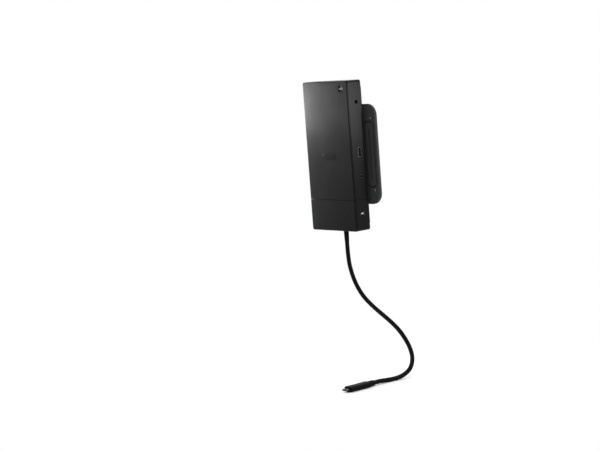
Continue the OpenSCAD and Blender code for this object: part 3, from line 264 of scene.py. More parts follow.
# strain relief at the dock: flange inside the wall, neck, then a taper with shallow ring grooves
relief = {
    "neckR": 3.7 * mm, "endR": 3.25 * mm, "poleR": 0.1 * mm, "wall": 2 * mm, "endRound": 0.5 * mm,
    "grooves": 5, "grooveDeep": 0.22 * mm, "land": 0.35, "plainEnd": 0.06, "sides": 48, "steps": 90,
}


def makeStrainRelief(spec):
    low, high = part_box("lead_boot")
    flangeR = (high.x - low.x) / 2
    wallIn = leadExit[2] + spec["wall"]
    neckR, poleR, land, plain = (spec[k] for k in ("neckR", "poleR", "land", "plainEnd"))
    t = np.linspace(0, 1, spec["steps"])
    z = leadExit[2] + t * (low.z - leadExit[2])
    taper = neckR + t * (spec["endR"] - neckR)
    wave = np.clip(np.cos(2 * np.pi * spec["grooves"] * t), land, 1)   # flat lands between narrow grooves
    grooved = taper - spec["grooveDeep"] * (wave - land) / (1 - land) * (t > plain) * (t < 1 - plain)
    softEnd = np.clip((1 - t) * (leadExit[2] - low.z) / spec["endRound"], 0, 1)
    radius = grooved - spec["endRound"] / 2 * (1 - np.sqrt(1 - (1 - softEnd) ** 2))
    inside = [[poleR, high.z], [flangeR, high.z], [flangeR, wallIn], [neckR, wallIn]]
    profile = np.concatenate([inside, np.stack([radius, z], -1), [[poleR, low.z]]])
    rings = turned(profile, (leadExit[0], leadExit[1], 0), (0, 0, 1), (1, 0, 0), spec["sides"])
    return addPiece("strainRelief", *closedRings(rings), "dock", "lead_jacket", ["lead_boot"])


strainRelief = makeStrainRelief(relief)


# plug on the lead's end: collar, moulded grip and a rolled metal shell, all along the plug's own axis
plug = {
    "collarL": 10 * mm, "collarR": 4 * mm, "collarWide": 1.15, "collarTaper": 0.4 * mm,
    "collarRound": 0.5 * mm, "collarSteps": 60, "neckDeep": 0.9 * mm, "neckWide": 2.2 * mm,
    "gripL": 35 * mm, "gripW": 14.5 * mm, "gripH": 8 * mm, "gripPower": 3.2, "frontRound": 0.7 * mm,
    "backRound": 0.9 * mm, "waist": 0.25 * mm, "slim": 0.35 * mm, "gripSteps": 30,
    "tipL": 6.6 * mm, "tipW": 8.3 * mm, "tipH": 2.5 * mm, "tipT": 0.35 * mm, "tipFloor": 1 * mm,
    "roundSteps": 9, "sides": 72,
}
plugStart = leadPath[-1]


def alongPlug(outline, distance):
    # outlines (rows of width, height) set across the plug's axis at the given distances
    spread = outline[..., 0, None] * plugSide + outline[..., 1, None] * plugUp
    return plugStart + np.asarray(distance)[:, None, None] * plugAxis + spread


def roundedEnds(s, length, front, back):
    # how far an outline draws in near both ends: a quarter circle of the given radii
    nearBack = np.clip(1 - s / back, 0, 1)
    nearFront = np.clip(1 - (length - s) / front, 0, 1)
    return back * (1 - np.sqrt(1 - nearBack**2)) + front * (1 - np.sqrt(1 - nearFront**2))


def endSteps(length, front, back, mid, turn):
    # distances that crowd towards the two rounded ends
    a = 0.5 * np.pi * np.linspace(0, 1, turn)
    straight = np.linspace(back, length - front, mid)[1:-1]
    return np.concatenate([back * (1 - np.cos(a)), straight, length - front * (1 - np.sin(a))])


def makePlugCollar(spec):
    length, r = spec["collarL"], spec["collarRound"]
    s = endSteps(length, r, r, spec["collarSteps"], spec["roundSteps"])
    neck = np.clip(1 - np.abs(length - s) / spec["neckWide"], 0, 1)   # groove next to the grip
    radius = spec["collarR"] - spec["collarTaper"] * (1 - s / length)
    radius = radius - spec["neckDeep"] * np.sin(0.5 * np.pi * neck) ** 2
    radius = radius - roundedEnds(s, length, r, r)
    ring = ovalRing(spec["collarWide"], 1, 2, spec["sides"])
    rings = alongPlug(radius[:, None, None] * ring, s)
    return addPiece("plugCollar", *closedRings(rings), "dock", "lead_jacket", ["plug_relief"])


def makePlugGrip(spec):
    length, front, back = spec["gripL"], spec["frontRound"], spec["backRound"]
    s = endSteps(length, front, back, spec["gripSteps"], spec["roundSteps"])
    drawIn = roundedEnds(s, length, front, back)
    waist = spec["waist"] * np.sin(np.pi * s / length) ** 2   # slight hollow for the fingers
    slim = spec["slim"] * s / length   # a little thinner in front
    halfW = spec["gripW"] / 2 - drawIn
    halfH = spec["gripH"] / 2 - drawIn - waist - slim
    outline = ovalRing(halfW[:, None], halfH[:, None], spec["gripPower"], spec["sides"])
    rings = alongPlug(outline, s + spec["collarL"])
    return addPiece("plugGrip", *closedRings(rings), "dock", "plug_plastic", ["plug_grip"])


def makePlugTip(spec):
    # outer wall, rolled lip and inner wall in one run of pill outlines
    t = spec["tipT"]
    a = np.linspace(0, np.pi, spec["roundSteps"])
    shrink = np.concatenate([[0, 0], t / 2 * (1 - np.cos(a)), [t, t]])[:, None]
    lip = spec["tipL"] - t / 2
    s = np.concatenate([[0, lip / 2], lip + t / 2 * np.sin(a), [lip / 2, spec["tipFloor"]]])
    outline = pillRing(spec["tipW"] / 2 - shrink, spec["tipH"] / 2 - shrink, spec["sides"])
    rings = alongPlug(outline, s + spec["collarL"] + spec["gripL"])
    return addPiece("plugTip", *closedRings(rings), "dock", "socket_steel", ["plug_shell"])


plugPieces = [makePlugCollar(plug), makePlugGrip(plug), makePlugTip(plug)]
print("lead and plug made")


# power button: a dished cap with a rounded rim, turned about its own axis
button = {
    "capR": 6.2 * mm, "rimRound": 0.45 * mm, "dishR": 4.6 * mm, "dishDeep": 0.75 * mm, "dishStart": 0.02,
    "dishSteps": 16, "flangeR": 7.2 * mm, "flangeTop": 2.35 * mm, "flangeLow": 3.25 * mm, "stemR": 2 * mm,
    "poleR": 0.05 * mm, "sides": 96,
}


def makePowerButton(spec):
    low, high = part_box("power_button")
    middle = (low + high) / 2
    capR, flangeR, stemR, r = (spec[k] for k in ("capR", "flangeR", "stemR", "rimRound"))
    top, stemEnd = -low.y, -high.y   # heights are measured towards the viewer
    flangeTop, flangeLow = top - spec["flangeTop"], top - spec["flangeLow"]
    dish = np.linspace(spec["dishStart"], 1, spec["dishSteps"]) * spec["dishR"]
    hollow = top - spec["dishDeep"] * np.cos(0.5 * np.pi * (dish / spec["dishR"]) ** 2)
    rim = arc((capR - r, top - r), r, 90, 0)
    lower = [[capR, flangeTop], [flangeR, flangeTop], [flangeR, flangeLow], [stemR, flangeLow],
             [stemR, stemEnd], [spec["poleR"], stemEnd]]
    profile = np.concatenate([np.stack([dish, hollow], -1), rim, lower])
    rings = turned(profile, (middle.x, 0, middle.z), (0, -1, 0), (1, 0, 0), spec["sides"])
    addPiece("powerButton", *closedRings(rings), "button", "button_plastic", ["power_button"])


makePowerButton(button)


# light bar across the cap: how far its outline draws in, row by row from the back to the crowned face
lightBar = {"power": 5.0, "crown": 0.12 * mm, "edge": 0.1 * mm, "draw": (1, 1, 0.97, 0.85, 0.6, 0.3),
            "sides": 48}


def makeLightBar(spec):
    # superellipse outlines, each deeper by the crown times one less its draw squared
    low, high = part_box("button_light_bar")
    middle, half = (low + high) / 2, (high - low) / 2
    draw = np.array(spec["draw"])
    depth = low.y - spec["crown"] * (1 - draw**2)
    depth[:2] = high.y, low.y + spec["edge"]
    outline = draw[:, None, None] * ovalRing(half.x, half.z, spec["power"], spec["sides"])
    rings = facingFront(outline, middle, depth)
    addPiece("buttonLightBar", *closedRings(rings), "button", "light_guide", ["button_light_bar"])


makeLightBar(lightBar)


# blank badge in the middle of the front
badge = {"edge": 0.35 * mm, "dome": 0.01 * mm, "sides": 120, "edgeSteps": 6, "steps": 10}


def makeBadge(spec):
    # pill outlines that draw in over a rounded edge, then a very shallow dome
    low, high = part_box("blank_badge")
    middle, half = (low + high) / 2, (high - low) / 2
    edge, steps = spec["edge"], spec["steps"]
    a = 0.5 * np.pi * np.linspace(0, 1, spec["edgeSteps"])
    over = np.linspace(0, 1, steps)[1:] * (half.z - 2 * edge)
    inset = np.concatenate([[0], edge * (1 - np.cos(a)), edge + over])
    share = np.clip((inset - edge) / (half.z - edge), 0, 1)
    rise = np.concatenate([[0], edge * np.sin(a), np.full(steps - 1, edge)])
    depth = low.y + edge - rise - spec["dome"] * np.sin(0.5 * np.pi * share)
    depth[0] = high.y
    outline = pillRing(half.x - inset[:, None], half.z - inset[:, None], spec["sides"])
    rings = facingFront(outline, middle, depth)
    addPiece("blankBadge", *closedRings(rings), "dock", "badge_gloss", ["blank_badge"])


makeBadge(badge)


# dark bezel in the wall's hole, in front of the headset jack
jackFace = {"boreR": 1.8 * mm, "outR": 2.8 * mm, "back": 0.3 * mm, "sink": 0.25 * mm, "lip": 0.2 * mm,
            "lipTurnDeg": 120, "wall": 2 * mm, "sides": 64}


def makeJackFace(spec):
    # a rounded rim, then a cone down to the bore, swept round the jack's axis
    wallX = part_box("main_case")[1].x
    middle = boxMiddle("headset_jack")
    bore, out, r = spec["boreR"], spec["outR"], spec["lip"]
    floor = -spec["wall"] + spec["back"]
    rim = arc((out - r, -spec["sink"] - r), r, 0, spec["lipTurnDeg"])
    profile = np.concatenate([[[bore, floor], [out, floor]], rim, [[bore, floor + 2 * r]]])
    rings = turned(profile, (wallX, middle.y, middle.z), (1, 0, 0), (0, 1, 0), spec["sides"])
    addPiece("jackBezel", *loopedRings(rings), "dock", "socket_plastic")


makeJackFace(jackFace)


# lock slot: a dark border on the wall and a steel leaf sunk in the slot
lock = {"flange": 3 * mm, "rim": 0.95 * mm, "rimThick": 0.12 * mm, "gap": 0.1 * mm, "sunk": 0.75 * mm,
        "thick": 0.5 * mm, "round": 0.15 * mm, "roundSteps": 5, "power": 12, "sides": 128}


def makeLockPieces(spec):
    # near-rectangular superellipses, each set at its depth along X
    low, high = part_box("lock_liner")
    middle = (low + high) / 2
    halfY, halfZ = (high.y - low.y) / 2 - spec["flange"], (high.z - low.z) / 2 - spec["flange"]

    def outlines(grow, depth):
        grow = np.array(grow)[:, None]
        outline = ovalRing(halfY + grow, halfZ + grow, spec["power"], spec["sides"])
        depth = np.broadcast_to(np.array(depth)[:, None], outline.shape[:2])
        return np.stack([depth, middle.y + outline[..., 0], middle.z + outline[..., 1]], -1)

    rim, top, r = spec["rim"], high.x + spec["rimThick"], spec["round"]
    border = outlines([rim, rim, 0, 0], [high.x, top, top, high.x])
    a = 0.5 * np.pi * np.linspace(0, 1, spec["roundSteps"])
    front = high.x - spec["sunk"]
    inset = np.concatenate([[0], r * (1 - np.cos(a)), [2 * r]])
    depth = np.concatenate([[front - spec["thick"]], front - r * (1 - np.sin(a)), [front]])
    leaf = outlines(-spec["gap"] - inset, depth)
    addPiece("lockBorder", *loopedRings(border), "dock", "socket_plastic")
    addPiece("lockLeaf", *closedRings(leaf), "dock", "screw_steel")


makeLockPieces(lock)
print("front pieces made")


# node helpers

def add(tree, kind, sockets=(), **settings):
    # one node: settings are its own options, sockets are input values or the outputs that feed them
    made = tree.nodes.new(kind)
    for label, value in settings.items():
        setattr(made, label, value)
    for label, value in dict(sockets).items():
        if isinstance(value, bpy.types.NodeSocket):
            tree.links.new(value, made.inputs[label])
        else:
            made.inputs[label].default_value = value
    return made


def feed(tree, made, sockets):
    for label, value in sockets.items():
        tree.links.new(value, made.inputs[label])


def maths(tree, kind, a, b=0.0, clamp=False):
    return add(tree, "ShaderNodeMath", {0: a, 1: b}, operation=kind, use_clamp=clamp).outputs[0]


def scaled(tree, value, share):
    return maths(tree, "MULTIPLY", value, share)


def ranged(tree, value, low, high, toLow, toHigh):
    return add(tree, "ShaderNodeMapRange", {"Value": value, "From Min": low, "From Max": high,
                                            "To Min": toLow, "To Max": toHigh}).outputs["Result"]


def noise(tree, vector, scale, detail=3.0, rough=0.55):
    return add(tree, "ShaderNodeTexNoise", {"Vector": vector, "Scale": scale, "Detail": detail,
                                            "Roughness": rough}).outputs["Fac"]


def objectPlace(tree):
    return add(tree, "ShaderNodeTexCoord").outputs["Object"]


def trueNormal(tree):
    return add(tree, "ShaderNodeNewGeometry").outputs["Normal"]


def distanceFrom(tree, where, middle):
    offset = add(tree, "ShaderNodeVectorMath", {0: where, 1: tuple(middle)}, operation="SUBTRACT").outputs[0]
    return add(tree, "ShaderNodeVectorMath", {0: offset}, operation="LENGTH").outputs["Value"]


# shared shader effects

def newGroup(name, inputs, outputs):
    group = bpy.data.node_groups.new(name, "ShaderNodeTree")
    for label, value in inputs.items():
        socket = group.interface.new_socket(label, in_out="INPUT", socket_type="NodeSocketFloat")
        socket.default_value = value
    for label in outputs:
        group.interface.new_socket(label, in_out="OUTPUT", socket_type="NodeSocketFloat")
    return group, add(group, "NodeGroupInput").outputs, add(group, "NodeGroupOutput")


grainEffect = {"size": 2200.0, "detail": 2.0, "coarse": 0.4, "fineShare": 0.65, "coarseShare": 0.35,
               "pits": 0.8, "pitEdge": 0.55}


def makeSparkGrain(spec):
    # the fine pitted skin of a spark-eroded mould: two sizes of noise and a scatter of brighter flecks
    group, given, out = newGroup("sparkGrain", {"Size": spec["size"]}, ["Height", "Fleck"])
    where, size = objectPlace(group), given["Size"]
    fine = noise(group, where, size, spec["detail"])
    coarse = noise(group, where, scaled(group, size, spec["coarse"]), spec["detail"])
    finePart = scaled(group, fine, spec["fineShare"])
    height = maths(group, "ADD", finePart, scaled(group, coarse, spec["coarseShare"]))
    pits = add(group, "ShaderNodeTexVoronoi", {"Vector": where, "Scale": scaled(group, size, spec["pits"])})
    fleck = ranged(group, pits.outputs["Distance"], 0.0, spec["pitEdge"], 1.0, 0.0)
    feed(group, out, {"Height": height, "Fleck": fleck})
    return group


handlingEffect = {"size": 28.0, "smearDetail": (4.0, 0.6), "smear": (0.35, 0.7), "dust": 0.4,
                  "upward": (0.2, 0.95), "speckSize": 900.0, "speckDetail": (5.0, 0.7),
                  "specks": (0.45, 0.75)}


def makeHandling(spec):
    # soft smears from hands, and dust that settles on faces that look up
    inputs = {"Size": spec["size"], "Dust": spec["dust"]}
    group, given, out = newGroup("handlingMarks", inputs, ["Smear", "Dust"])
    where = objectPlace(group)
    broad = noise(group, where, given["Size"], *spec["smearDetail"])
    smear = ranged(group, broad, *spec["smear"], 0.0, 1.0)
    upward = add(group, "ShaderNodeSeparateXYZ", {"Vector": trueNormal(group)}).outputs["Z"]
    settle = ranged(group, upward, *spec["upward"], 0.0, 1.0)
    fine = noise(group, where, spec["speckSize"], *spec["speckDetail"])
    specks = ranged(group, fine, *spec["specks"], 0.0, 1.0)
    dust = maths(group, "MULTIPLY", scaled(group, settle, specks), given["Dust"], True)
    feed(group, out, {"Smear": smear, "Dust": dust})
    return group


linesEffect = {"across": (3000.0, 3000.0, 60.0), "lineDetail": (4.0, 0.65), "stainSize": 180.0,
               "stainDetail": (4.0, 0.6)}


def makeDrawnLines(spec):
    # fine parallel lines left by drawing or brushing: noise squeezed hard along one direction
    inputs = dict(zip(("AcrossX", "AcrossY", "AcrossZ"), spec["across"]))
    group, given, out = newGroup("drawnLines", inputs, ["Line", "Stain"])
    where = objectPlace(group)
    stretch = add(group, "ShaderNodeCombineXYZ", {"X": given["AcrossX"], "Y": given["AcrossY"],
                                                  "Z": given["AcrossZ"]}).outputs["Vector"]
    squeezed = add(group, "ShaderNodeVectorMath", {0: where, 1: stretch}, operation="MULTIPLY").outputs[0]
    line = noise(group, squeezed, 1.0, *spec["lineDetail"])
    stain = noise(group, where, spec["stainSize"], *spec["stainDetail"])
    feed(group, out, {"Line": line, "Stain": stain})
    return group


edgeEffect = {"reach": 0.5 * mm, "samples": 4, "turn": (1.0, 0.8)}


def makeSoftEdge(spec):
    # where the surface turns an edge: how far the rounded normal leaves the true one
    group, given, out = newGroup("softEdge", {"Reach": spec["reach"]}, ["Edge"])
    bevel = add(group, "ShaderNodeBevel", {"Radius": given["Reach"]}, samples=spec["samples"])
    pair = {0: bevel.outputs["Normal"], 1: trueNormal(group)}
    turn = add(group, "ShaderNodeVectorMath", pair, operation="DOT_PRODUCT").outputs["Value"]
    feed(group, out, {"Edge": ranged(group, turn, *spec["turn"], 0.0, 1.0)})
    return group


sparkGrain = makeSparkGrain(grainEffect)
handlingMarks = makeHandling(handlingEffect)
drawnLines = makeDrawnLines(linesEffect)
softEdge = makeSoftEdge(edgeEffect)


# material helpers

def useGroup(tree, group, **values):
    return add(tree, "ShaderNodeGroup", values, node_tree=group).outputs


def blendColour(tree, factor, first, second):
    made = add(tree, "ShaderNodeMix", data_type="RGBA")
    for label, value in (("Factor", factor), ("A", first), ("B", second)):
        kind = "VALUE" if label == "Factor" else "RGBA"
        socket = next(s for s in made.inputs if s.name == label and s.type == kind)
        if isinstance(value, bpy.types.NodeSocket):
            tree.links.new(value, socket)
        else:
            socket.default_value = (*value, 1.0)
    return next(s for s in made.outputs if s.type == "RGBA")


def startMaterial(name, sockets):
    # a material with its Principled shader, plain values set on the shader's own sockets
    material = bpy.data.materials.new(name)
    material.use_nodes = True
    tree = material.node_tree
    shader = tree.nodes["Principled BSDF"]
    for label, value in sockets.items():
        shader.inputs[label].default_value = value
    return material, tree, shader


def bumpFrom(tree, shader, height, depth):
    bump = add(tree, "ShaderNodeBump", {"Height": height, "Distance": depth, "Strength": 1.0})
    feed(tree, shader, {"Normal": bump.outputs["Normal"]})


def tint(colour, share):
    return tuple(c * share for c in colour)


# moulded and soft finishes: colour, tint of its flecks, roughness range, grain size and depth, sheen and dust
mouldedFinishes = {
    "cover_plastic": {"colour": (0.0034, 0.0035, 0.0037), "fleck": 1.6, "rough": (0.19, 0.21), "grain": 2600,
                      "deep": 0.002 * mm, "specular": 0.085, "dust": 0.15},
    "case_plastic": {"colour": (0.0034, 0.0035, 0.0037), "fleck": 1.6, "rough": (0.27, 0.31), "grain": 2200,
                     "deep": 0.004 * mm, "specular": 0.1, "dust": 0.15},
    "badge_gloss": {"colour": (0.0035, 0.0036, 0.0038), "fleck": 1.2, "rough": (0.17, 0.19), "grain": 5000,
                    "deep": 0.0004 * mm, "specular": 0.085, "dust": 0.0},
    "button_plastic": {"colour": (0.004, 0.004, 0.0045), "fleck": 1.3, "rough": (0.3, 0.36), "grain": 4200,
                       "deep": 0.002 * mm, "specular": 0.045, "dust": 0.0},
    "soft_rubber": {"colour": (0.010, 0.010, 0.010), "fleck": 1.5, "rough": (0.72, 0.86), "grain": 1800,
                    "deep": 0.02 * mm, "specular": 0.2, "dust": 0.5},
    "socket_plastic": {"colour": (0.004, 0.004, 0.0045), "fleck": 1.3, "rough": (0.42, 0.55), "grain": 3200,
                       "deep": 0.006 * mm, "specular": 0.1, "dust": 0.1},
    "chip_black": {"colour": (0.009, 0.009, 0.010), "fleck": 1.6, "rough": (0.55, 0.7), "grain": 5200,
                   "deep": 0.006 * mm, "specular": 0.3, "dust": 0.3},
    "thermal_grey": {"colour": (0.27, 0.34, 0.40), "fleck": 0.85, "rough": (0.75, 0.9), "grain": 2600,
                     "deep": 0.015 * mm, "specular": 0.25, "dust": 0.1},
    "lead_jacket": {"colour": (0.003, 0.003, 0.0033), "fleck": 1.4, "rough": (0.30, 0.40), "grain": 1600,
                    "deep": 0.008 * mm, "specular": 0.035, "dust": 0.0},
    "plug_plastic": {"colour": (0.003, 0.003, 0.0033), "fleck": 1.4, "rough": (0.34, 0.45), "grain": 2800,
                     "deep": 0.008 * mm, "specular": 0.04, "dust": 0.0},
    "ribbon_amber": {"colour": (0.50, 0.24, 0.04), "fleck": 0.8, "rough": (0.25, 0.4), "grain": 1500,
                     "deep": 0.004 * mm, "specular": 0.5, "dust": 0.1},
}
# edge share and tint paint the edges lighter, partly as rubbed wear and partly as a painted highlight
mouldedWearAndSheen = {"edgeReach": 0.35 * mm, "edgeWearAndHighlightShare": 0.45, "edgeWearAndHighlightTint": 1.9, "dustShare": 0.35,
               "dustRough": 0.2}
dustColour = (0.20, 0.195, 0.185)


def mouldedMaterial(name, spec, wear):
    material, tree, shader = startMaterial(name, {"Specular IOR Level": spec["specular"]})
    grain = useGroup(tree, sparkGrain, Size=spec["grain"])
    marks = useGroup(tree, handlingMarks, Dust=spec["dust"])
    edge = useGroup(tree, softEdge, Reach=wear["edgeReach"])["Edge"]
    colour = spec["colour"]
    skin = blendColour(tree, grain["Fleck"], colour, tint(colour, spec["fleck"]))
    # edges painted lighter: partly rubbed wear, partly a painted highlight along them
    wornAndHighlitEdges = blendColour(tree, scaled(tree, edge, wear["edgeWearAndHighlightShare"]), skin, tint(colour, wear["edgeWearAndHighlightTint"]))
    dusty = blendColour(tree, scaled(tree, marks["Dust"], wear["dustShare"]), wornAndHighlitEdges, dustColour)
    low, high = spec["rough"]
    smeared = ranged(tree, marks["Smear"], 0.0, 1.0, high, low)
    rough = maths(tree, "ADD", smeared, scaled(tree, marks["Dust"], wear["dustRough"]))
    feed(tree, shader, {"Base Color": dusty, "Roughness": rough})
    bumpFrom(tree, shader, grain["Height"], spec["deep"])
    return material


# bare and plated metals: colour, stain colour, roughness range, line direction and depth
metalFinishes = {
    "screw_steel": {"colour": (0.60, 0.61, 0.62), "stain": (0.46, 0.46, 0.47), "rough": (0.22, 0.36),
                    "across": (900, 900, 900), "deep": 0.003 * mm},
    "socket_steel": {"colour": (0.095, 0.096, 0.099), "stain": (0.07, 0.07, 0.073), "rough": (0.24, 0.36),
                     "across": (150, 3200, 3200), "deep": 0.002 * mm},
    "brass": {"colour": (0.62, 0.45, 0.18), "stain": (0.45, 0.30, 0.10), "rough": (0.22, 0.4),
              "across": (2600, 150, 2600), "deep": 0.002 * mm},
    "heatsink_aluminium": {"colour": (0.62, 0.63, 0.65), "stain": (0.5, 0.51, 0.53), "rough": (0.3, 0.45),
                           "across": (3000, 3000, 70), "deep": 0.006 * mm},
    "copper_coil": {"colour": (0.50, 0.21, 0.08), "stain": (0.30, 0.11, 0.04), "rough": (0.25, 0.4),
                    "across": (900, 5200, 900), "deep": 0.03 * mm},
}
metalWear = {"smearSize": 90.0, "stained": (0.4, 0.75), "lineShare": 0.6, "smearShare": 0.4,
             "mixed": (0.1, 0.9)}


def metalMaterial(name, spec, wear):
    material, tree, shader = startMaterial(name, {"Metallic": 1.0})
    acrossX, acrossY, acrossZ = spec["across"]
    lines = useGroup(tree, drawnLines, AcrossX=acrossX, AcrossY=acrossY, AcrossZ=acrossZ)
    marks = useGroup(tree, handlingMarks, Size=wear["smearSize"])
    stained = ranged(tree, lines["Stain"], *wear["stained"], 0.0, 1.0)
    colour = blendColour(tree, stained, spec["colour"], spec["stain"])
    streak = scaled(tree, lines["Line"], wear["lineShare"])
    mixed = maths(tree, "ADD", streak, scaled(tree, marks["Smear"], wear["smearShare"]))
    rough = ranged(tree, mixed, *wear["mixed"], *spec["rough"])
    feed(tree, shader, {"Base Color": colour, "Roughness": rough})
    bumpFrom(tree, shader, lines["Line"], spec["deep"])
    return material


# the edge colour is painted lighter along edges: partly thinned coat, partly a painted highlight
holderFinish = {
    "colour": (0.036, 0.0365, 0.038), "fleck": 1.35, "edge": (0.055, 0.055, 0.058), "edgeReach": 0.6 * mm,
    "edgeWearAndHighlightShare": 0.6, "dust": 0.5, "dustShare": 0.3, "rough": (0.52, 0.62), "specular": 0.1, "peel": 700,
    "peelDetail": (2.0, 0.45), "grain": 3000.0, "grainShare": 0.15, "deep": 0.030 * mm,
}


def powderCoat(name, spec):
    # charcoal powder coat: a soft orange-peel skin, painted lighter on edges as thinned coat and as a painted
    # highlight
    material, tree, shader = startMaterial(name, {"Specular IOR Level": spec["specular"]})
    peel = noise(tree, objectPlace(tree), spec["peel"], *spec["peelDetail"])
    fine = useGroup(tree, sparkGrain, Size=spec["grain"])
    marks = useGroup(tree, handlingMarks, Dust=spec["dust"])
    edge = useGroup(tree, softEdge, Reach=spec["edgeReach"])["Edge"]
    skin = blendColour(tree, fine["Fleck"], spec["colour"], tint(spec["colour"], spec["fleck"]))
    wornAndHighlitEdges = blendColour(tree, scaled(tree, edge, spec["edgeWearAndHighlightShare"]), skin, spec["edge"])
    dusty = blendColour(tree, scaled(tree, marks["Dust"], spec["dustShare"]), wornAndHighlitEdges, dustColour)
    low, high = spec["rough"]
    rough = ranged(tree, marks["Smear"], 0.0, 1.0, high, low)
    feed(tree, shader, {"Base Color": dusty, "Roughness": rough})
    height = maths(tree, "ADD", peel, scaled(tree, fine["Height"], spec["grainShare"]))
    bumpFrom(tree, shader, height, spec["deep"])
    return material


boardFinish = {
    "mask": (0.012, 0.085, 0.038), "copper": (0.02, 0.16, 0.07), "track": 420.0, "trackEdge": (0.04, 0.10),
    "planeShare": 0.45, "planeEdge": (0.3, 0.34), "smearSize": 60.0, "smearShare": 0.3, "smearTint": 0.6,
    "rough": 0.34, "deep": 0.02 * mm,
}


def circuitBoard(name, spec):
    # solder mask over raised tracks: cell edges of one Voronoi field, kept to square cells of a coarser one
    material, tree, shader = startMaterial(name, {"Roughness": spec["rough"]})
    where = objectPlace(tree)
    fine = {"Vector": where, "Scale": spec["track"]}
    coarse = {"Vector": where, "Scale": spec["track"] * spec["planeShare"]}
    cells = add(tree, "ShaderNodeTexVoronoi", fine, feature="DISTANCE_TO_EDGE")
    square = add(tree, "ShaderNodeTexVoronoi", coarse, distance="CHEBYCHEV")
    track = ranged(tree, cells.outputs["Distance"], *spec["trackEdge"], 1.0, 0.0)
    plane = ranged(tree, square.outputs["Distance"], *spec["planeEdge"], 1.0, 0.0)
    raised = scaled(tree, track, plane)
    smear = useGroup(tree, handlingMarks, Size=spec["smearSize"])["Smear"]
    colour = blendColour(tree, raised, spec["mask"], spec["copper"])
    smeared = scaled(tree, smear, spec["smearShare"])
    shade = blendColour(tree, smeared, colour, tint(spec["mask"], spec["smearTint"]))
    feed(tree, shader, {"Base Color": shade})
    bumpFrom(tree, shader, raised, spec["deep"])
    return material


lightFinish = {"colour": (0.11, 0.112, 0.115), "glow": (0.92, 0.96, 1.0), "edgeGlow": (0.6, 0.66, 0.72),
               "strength": 0.03, "reach": 3.5 * mm, "cloud": 1500.0, "cloudTint": 0.85, "rough": 0.45,
               "specular": 0.2}


def lightGuide(name, spec):
    # milky bar with a very faint glow, strongest in its middle
    plain = {"Roughness": spec["rough"], "Specular IOR Level": spec["specular"],
             "Emission Strength": spec["strength"]}
    material, tree, shader = startMaterial(name, plain)
    where = objectPlace(tree)
    far = distanceFrom(tree, where, boxMiddle("button_light_bar"))
    share = ranged(tree, far, 0.0, spec["reach"], 0.0, 1.0)
    glow = blendColour(tree, share, spec["glow"], spec["edgeGlow"])
    cloud = noise(tree, where, spec["cloud"])
    milk = blendColour(tree, cloud, spec["colour"], tint(spec["colour"], spec["cloudTint"]))
    feed(tree, shader, {"Emission Color": glow, "Base Color": milk})
    return material


finishes = {slot: mouldedMaterial(slot, spec, mouldedWearAndSheen) for slot, spec in mouldedFinishes.items()}
finishes.update({slot: metalMaterial(slot, spec, metalWear) for slot, spec in metalFinishes.items()})
finishes["holder_steel"] = powderCoat("holder_steel", holderFinish)
finishes["board_green"] = circuitBoard("board_green", boardFinish)
finishes["light_guide"] = lightGuide("light_guide", lightFinish)
print("finishes made:", len(finishes))


def dressNodes():
    # every CAD node takes the finish that the record's list of subparts gives it
    for row in frame["record"]["subparts"]:
        piece = nodes[row["node"]]
        piece.data.materials.clear()
        piece.data.materials.append(finishes[row["material_slot"]])
        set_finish(piece, row["material_slot"])


def dressPieces():
    # every new piece takes the finish of the slot that it was given when it was made
    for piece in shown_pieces():
        if "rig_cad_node" not in piece:
            piece.data.materials.append(finishes[piece["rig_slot"]])


dressNodes()
dressPieces()
print("pieces dressed")


# stage: a pale floor that fades into a white surround
floorZ = -0.2955   # the lowest point of the lead and the plug
stage = {
    "floorHalf": 3.0, "floorColour": (0.86, 0.86, 0.86), "floorRough": 0.9, "floorSpecular": 0.1,
    "fibre": 400.0, "fibreTint": 0.985, "fadeMiddle": (0.12, -0.10, floorZ), "fadeFrom": 0.10, "fadeTo": 0.34,
    "worldLight": 0.45,
}


def makeFloor(spec):
    h = spec["floorHalf"]
    corners = [(-h, -h, floorZ), (h, -h, floorZ), (h, h, floorZ), (-h, h, floorZ)]
    mesh = bpy.data.meshes.new("floor")
    mesh.from_pydata(corners, [], [(0, 1, 2, 3)])
    floor = addObject("floor", mesh)
    material, tree, shader = startMaterial("floor_paper", {"Roughness": spec["floorRough"],
                                                           "Specular IOR Level": spec["floorSpecular"]})
    where = objectPlace(tree)
    fibre = noise(tree, where, spec["fibre"])
    paper = blendColour(tree, fibre, spec["floorColour"], tint(spec["floorColour"], spec["fibreTint"]))
    feed(tree, shader, {"Base Color": paper})
    far = distanceFrom(tree, where, spec["fadeMiddle"])
    seen = add(tree, "ShaderNodeLightPath").outputs["Is Camera Ray"]
    fade = scaled(tree, ranged(tree, far, spec["fadeFrom"], spec["fadeTo"], 0.0, 1.0), seen)
    clear = add(tree, "ShaderNodeBsdfTransparent").outputs[0]
    mix = add(tree, "ShaderNodeMixShader", {0: fade, 1: shader.outputs[0], 2: clear})
    feed(tree, tree.nodes["Material Output"], {"Surface": mix.outputs[0]})
    floor.data.materials.append(material)


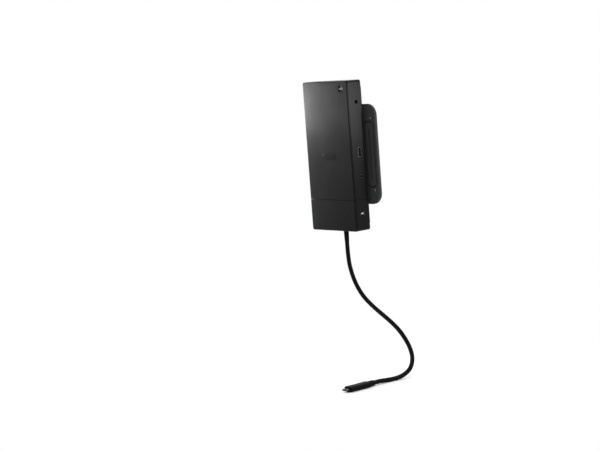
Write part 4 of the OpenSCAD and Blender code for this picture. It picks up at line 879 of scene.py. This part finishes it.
def makeWorld(spec):
    # white for what the camera, mirrors and glass see, a plain soft level for the rest
    world = bpy.data.worlds.new("studio")
    bpy.context.scene.world = world
    world.use_nodes = True
    tree = world.node_tree
    tree.nodes.clear()
    rays = add(tree, "ShaderNodeLightPath").outputs
    bent = maths(tree, "MAXIMUM", rays["Is Glossy Ray"], rays["Is Transmission Ray"])
    seen = maths(tree, "MAXIMUM", rays["Is Camera Ray"], bent)
    white = (1, 1, 1, 1)
    soft = add(tree, "ShaderNodeBackground", {"Color": white, "Strength": spec["worldLight"]}).outputs[0]
    full = add(tree, "ShaderNodeBackground", {"Color": white, "Strength": 1.0}).outputs[0]
    mix = add(tree, "ShaderNodeMixShader", {0: seen, 1: soft, 2: full})
    feed(tree, add(tree, "ShaderNodeOutputWorld"), {"Surface": mix.outputs[0]})


# narrow strips beside the dock put the sheen on its front and its right wall, and two broad sheets
# without a mirror image light the holder and the floor; sizes in metres, power in watts
lamps = {
    "keyLamp": {"place": (-0.452, -0.318, 0.057), "aim": (0.0, -0.038, 0.057), "wide": 0.05, "tall": 0.09,
                "power": 2.9, "mirrored": True},
    "lowLamp": {"place": (-0.46, -0.315, -0.075), "aim": (0.0, -0.038, -0.06), "wide": 0.05, "tall": 0.18,
                "power": 0.66, "mirrored": True},
    "sideLamp": {"place": (0.45, 0.24, 0.057), "aim": (0.045, -0.025, 0.057), "wide": 0.05, "tall": 0.09,
                 "power": 1.15, "mirrored": True},
    "fillLamp": {"place": (1.3, -1.3, 0.75), "aim": (0.05, -0.02, 0.0), "wide": 0.7, "tall": 0.7,
                 "power": 8, "mirrored": False},
    "topLamp": {"place": (-0.1, -0.3, 1.9), "aim": (0.05, -0.1, -0.3), "wide": 2.4, "tall": 2.4,
                "power": 33, "mirrored": False},
}


def makeLamps(table):
    for name, spec in table.items():
        data = bpy.data.lights.new(name, "AREA")
        data.shape = "RECTANGLE"
        data.size, data.size_y = spec["wide"], spec["tall"]
        data.energy = spec["power"]
        lamp = addObject(name, data)
        lamp.location = spec["place"]
        lamp.rotation_mode = "QUATERNION"
        lamp.rotation_quaternion = (Vector(spec["aim"]) - lamp.location).to_track_quat("-Z", "Y")
        lamp.visible_camera = False
        lamp.visible_glossy = spec["mirrored"]


makeFloor(stage)
makeWorld(stage)
makeLamps(lamps)
bpy.context.scene.view_settings.view_transform = "Standard"
print("stage lit")
